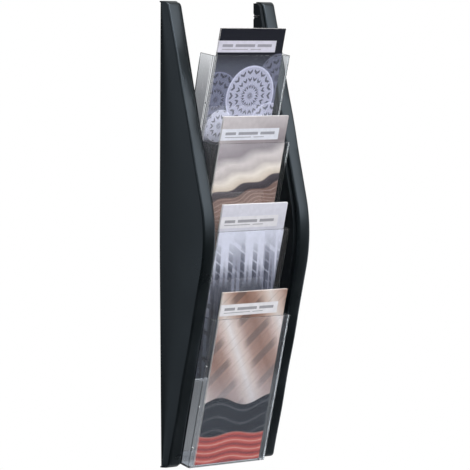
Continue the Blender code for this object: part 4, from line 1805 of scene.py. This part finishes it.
@dataclass
class Studio:
    """Camera, soft lights, surroundings and a plain pale floor."""

    target: tuple[float, float, float] = (-0.008, -0.045, 0.2694)
    distance: float = 3.604
    turn: float = 41.04
    pitch: float = 3.44
    lens: float = 237.8
    sensor: float = 36.0
    clip: tuple[float, float] = (0.1, 60.0)
    right_way: tuple[float, float, float] = (0.957, -0.134, -0.259)
    right_edges: tuple[float, float] = (0.945, 0.985)
    right_level: float = 3.4
    left_way: tuple[float, float] = (-0.781, 0.624)
    left_edges: tuple[float, float] = (0.955, 0.99)
    left_heights: tuple[float, float] = (0.0, -0.13)
    left_levels: tuple[float, float] = (0.25, 0.85)
    patch_tone: Colour = (0.90, 0.96, 1.0)
    floor_drop: float = 1.2
    floor_half: float = 1.4
    floor_tones: tuple[Colour, Colour] = ((0.80, 0.80, 0.79), (0.84, 0.84, 0.83))
    floor_pitch: float = 1.3
    floor_roughness: float = 0.8

    def heading(self, azimuth: float, elevation: float) -> Vector:
        """The unit vector along +Y turned toward +X and lifted, by degrees.

        Args:
            azimuth: Degrees toward +X.
            elevation: Degrees upward.

        Returns:
            The vector.
        """
        turn, lift = math.radians(azimuth), math.radians(elevation)
        return Vector((math.sin(turn) * math.cos(lift), math.cos(turn) * math.cos(lift), math.sin(lift)))

    def add_camera(self) -> None:
        """Places the camera where the photograph was taken from."""
        data = bpy.data.cameras.new("camera")
        data.sensor_width = self.sensor
        data.lens = self.lens
        data.clip_start, data.clip_end = self.clip
        camera = link_new("camera", data)
        ahead = self.heading(self.turn, -self.pitch)
        camera.rotation_euler = ahead.to_track_quat("-Z", "Y").to_euler()
        camera.location = Vector(self.target) - ahead * self.distance
        bpy.context.scene.camera = camera

    def add_lamp(self, light: SoftLight) -> None:
        """Adds a lamp.

        Args:
            light: Its name, place, size and power.
        """
        data = bpy.data.lights.new(light.name, "AREA")
        data.shape = "SQUARE"
        data.size = light.size
        data.energy = light.power
        lamp = link_new(light.name, data)
        back = self.heading(light.azimuth, light.elevation)
        back.y = -back.y
        lamp.location = Vector(self.target) + back * light.distance
        lamp.rotation_euler = (-back).to_track_quat("-Z", "Y").to_euler()

    def bright_patches(self, wiring: Wiring, way: Socket, along_x: Socket, along_y: Socket,
                       rising: Socket) -> Socket:
        """The strength of the two bright patches that the columns mirror.

        Args:
            wiring: The world's wiring.
            way: The direction looked in.
            along_x: Its X.
            along_y: Its Y.
            rising: Its Z.

        Returns:
            The strength's socket.
        """
        toward = wiring.add("ShaderNodeVectorMath", operation="DOT_PRODUCT")
        wiring.feed(toward.inputs[0], way)
        toward.inputs[1].default_value = self.right_way
        right = wiring.span(toward.outputs["Value"], *self.right_edges, 0.0, self.right_level, smooth=True)
        leftward = wiring.weighed((along_x, self.left_way[0]), (along_y, self.left_way[1]))
        left = wiring.product(wiring.span(leftward, *self.left_edges, smooth=True),
                              wiring.span(rising, *self.left_heights, *self.left_levels))
        return wiring.total(left, right)

    def add_surroundings(self) -> None:
        """Lights the rack from a dim studio with a bright upper half, in front of a white ground."""
        world = bpy.data.worlds.new("studio")
        world.use_nodes = True
        bpy.context.scene.world = world
        wiring = Wiring(world.node_tree)
        wiring.tree.nodes.clear()
        way = wiring.add("ShaderNodeTexCoord").outputs["Generated"]
        along_x, along_y, rising = wiring.axes(way)
        shades = []
        for dark in DARK_FIELDS:
            toward = wiring.weighed((along_x, dark.way[0]), (along_y, dark.way[1]))
            shades.append(wiring.span(toward, dark.start, dark.end, 1.0, dark.least, smooth=True))
        dim, patches, white = (wiring.add("ShaderNodeBackground") for _ in range(3))
        wiring.feed(dim.inputs["Color"], wiring.ramp(wiring.maths("MULTIPLY_ADD", rising, 0.5, 0.5),
                                                     HEIGHT_STOPS))
        wiring.feed(dim.inputs["Strength"], wiring.product(*shades))
        wiring.feed(patches.inputs["Color"], self.patch_tone)
        wiring.feed(patches.inputs["Strength"], self.bright_patches(wiring, way, along_x, along_y, rising))
        wiring.feed(white.inputs["Color"], (1.0, 1.0, 1.0))
        both = wiring.add("ShaderNodeAddShader")
        wiring.feed(both.inputs[0], dim.outputs[0])
        wiring.feed(both.inputs[1], patches.outputs[0])
        chosen = wiring.add("ShaderNodeMixShader")
        wiring.feed(chosen.inputs[0], wiring.add("ShaderNodeLightPath").outputs["Is Camera Ray"])
        wiring.feed(chosen.inputs[1], both.outputs[0])
        wiring.feed(chosen.inputs[2], white.outputs[0])
        wiring.feed(wiring.add("ShaderNodeOutputWorld").inputs["Surface"], chosen.outputs[0])

    def add_floor(self) -> None:
        """Lays a plain pale floor well below the rack."""
        shape = bmesh.new()
        bmesh.ops.create_grid(shape, x_segments=1, y_segments=1, size=self.floor_half)
        bmesh.ops.translate(shape, verts=shape.verts, vec=(0.0, 0.0, -self.floor_drop))
        material, wiring, shader = start_material("pale_floor")
        tone = wiring.noise(wiring.point(), self.floor_pitch, detail=3.0)
        wiring.feed(shader.inputs["Base Color"], wiring.mix(tone, *self.floor_tones))
        wiring.feed(shader.inputs["Roughness"], self.floor_roughness)
        to_object("floor", shape, [material])

    def build(self) -> None:
        """Sets up the whole studio."""
        self.add_camera()
        for light in LAMPS:
            self.add_lamp(light)
        self.add_surroundings()
        self.add_floor()
        bpy.context.scene.view_settings.view_transform = "Standard"


Part = Union[ColumnCover, RefinedSolid, ClearPocket, LeafletPile]


def clear_defaults() -> None:
    """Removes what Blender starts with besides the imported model."""
    kept = set(frame["nodes"].values()) | set(frame["bodies"].values())
    for item in [item for item in bpy.data.objects if item not in kept]:
        bpy.data.objects.remove(item, do_unlink=True)


def sub_assemblies() -> list[Part]:
    """Lists every sub-assembly of the rack.

    Returns:
        The sub-assemblies, in building order.
    """
    parts: list[Part] = []
    for side in Side:
        parts.append(ColumnCover(side))
        parts.append(RefinedSolid(f"{side.word}_inner_panel", PANEL_BLACK, "black_panel", round_front=True))
        parts += [RefinedSolid(f"{side.word}_cover_screw_{number}", ZINC, "zinc_steel", edge_round=0.12 * MM)
                  for number in (1, 2, 3)]
        parts += [RefinedSolid(f"wall_bracket_{place}_{side.word}", BLACK_ZINC, "zinc_steel",
                               edge_round=0.2 * MM, coat=0.3 * MM)
                  for place in ("upper", "lower")]
    for tier in range(TIERS):
        parts += [ClearPocket(tier), LeafletPile(tier)]
    return parts


def main() -> None:
    """Builds the rack's looks and the studio, and reports each piece."""
    logging.basicConfig(level=logging.INFO, format="%(name)s: %(message)s")
    clear_defaults()
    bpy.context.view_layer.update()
    palette = Palette()
    for part in sub_assemblies():
        item = part.build(palette)
        LOG.info("%s: %d faces", item.name, len(item.data.polygons))
    Studio().build()


if __name__ == "__main__":
    main()
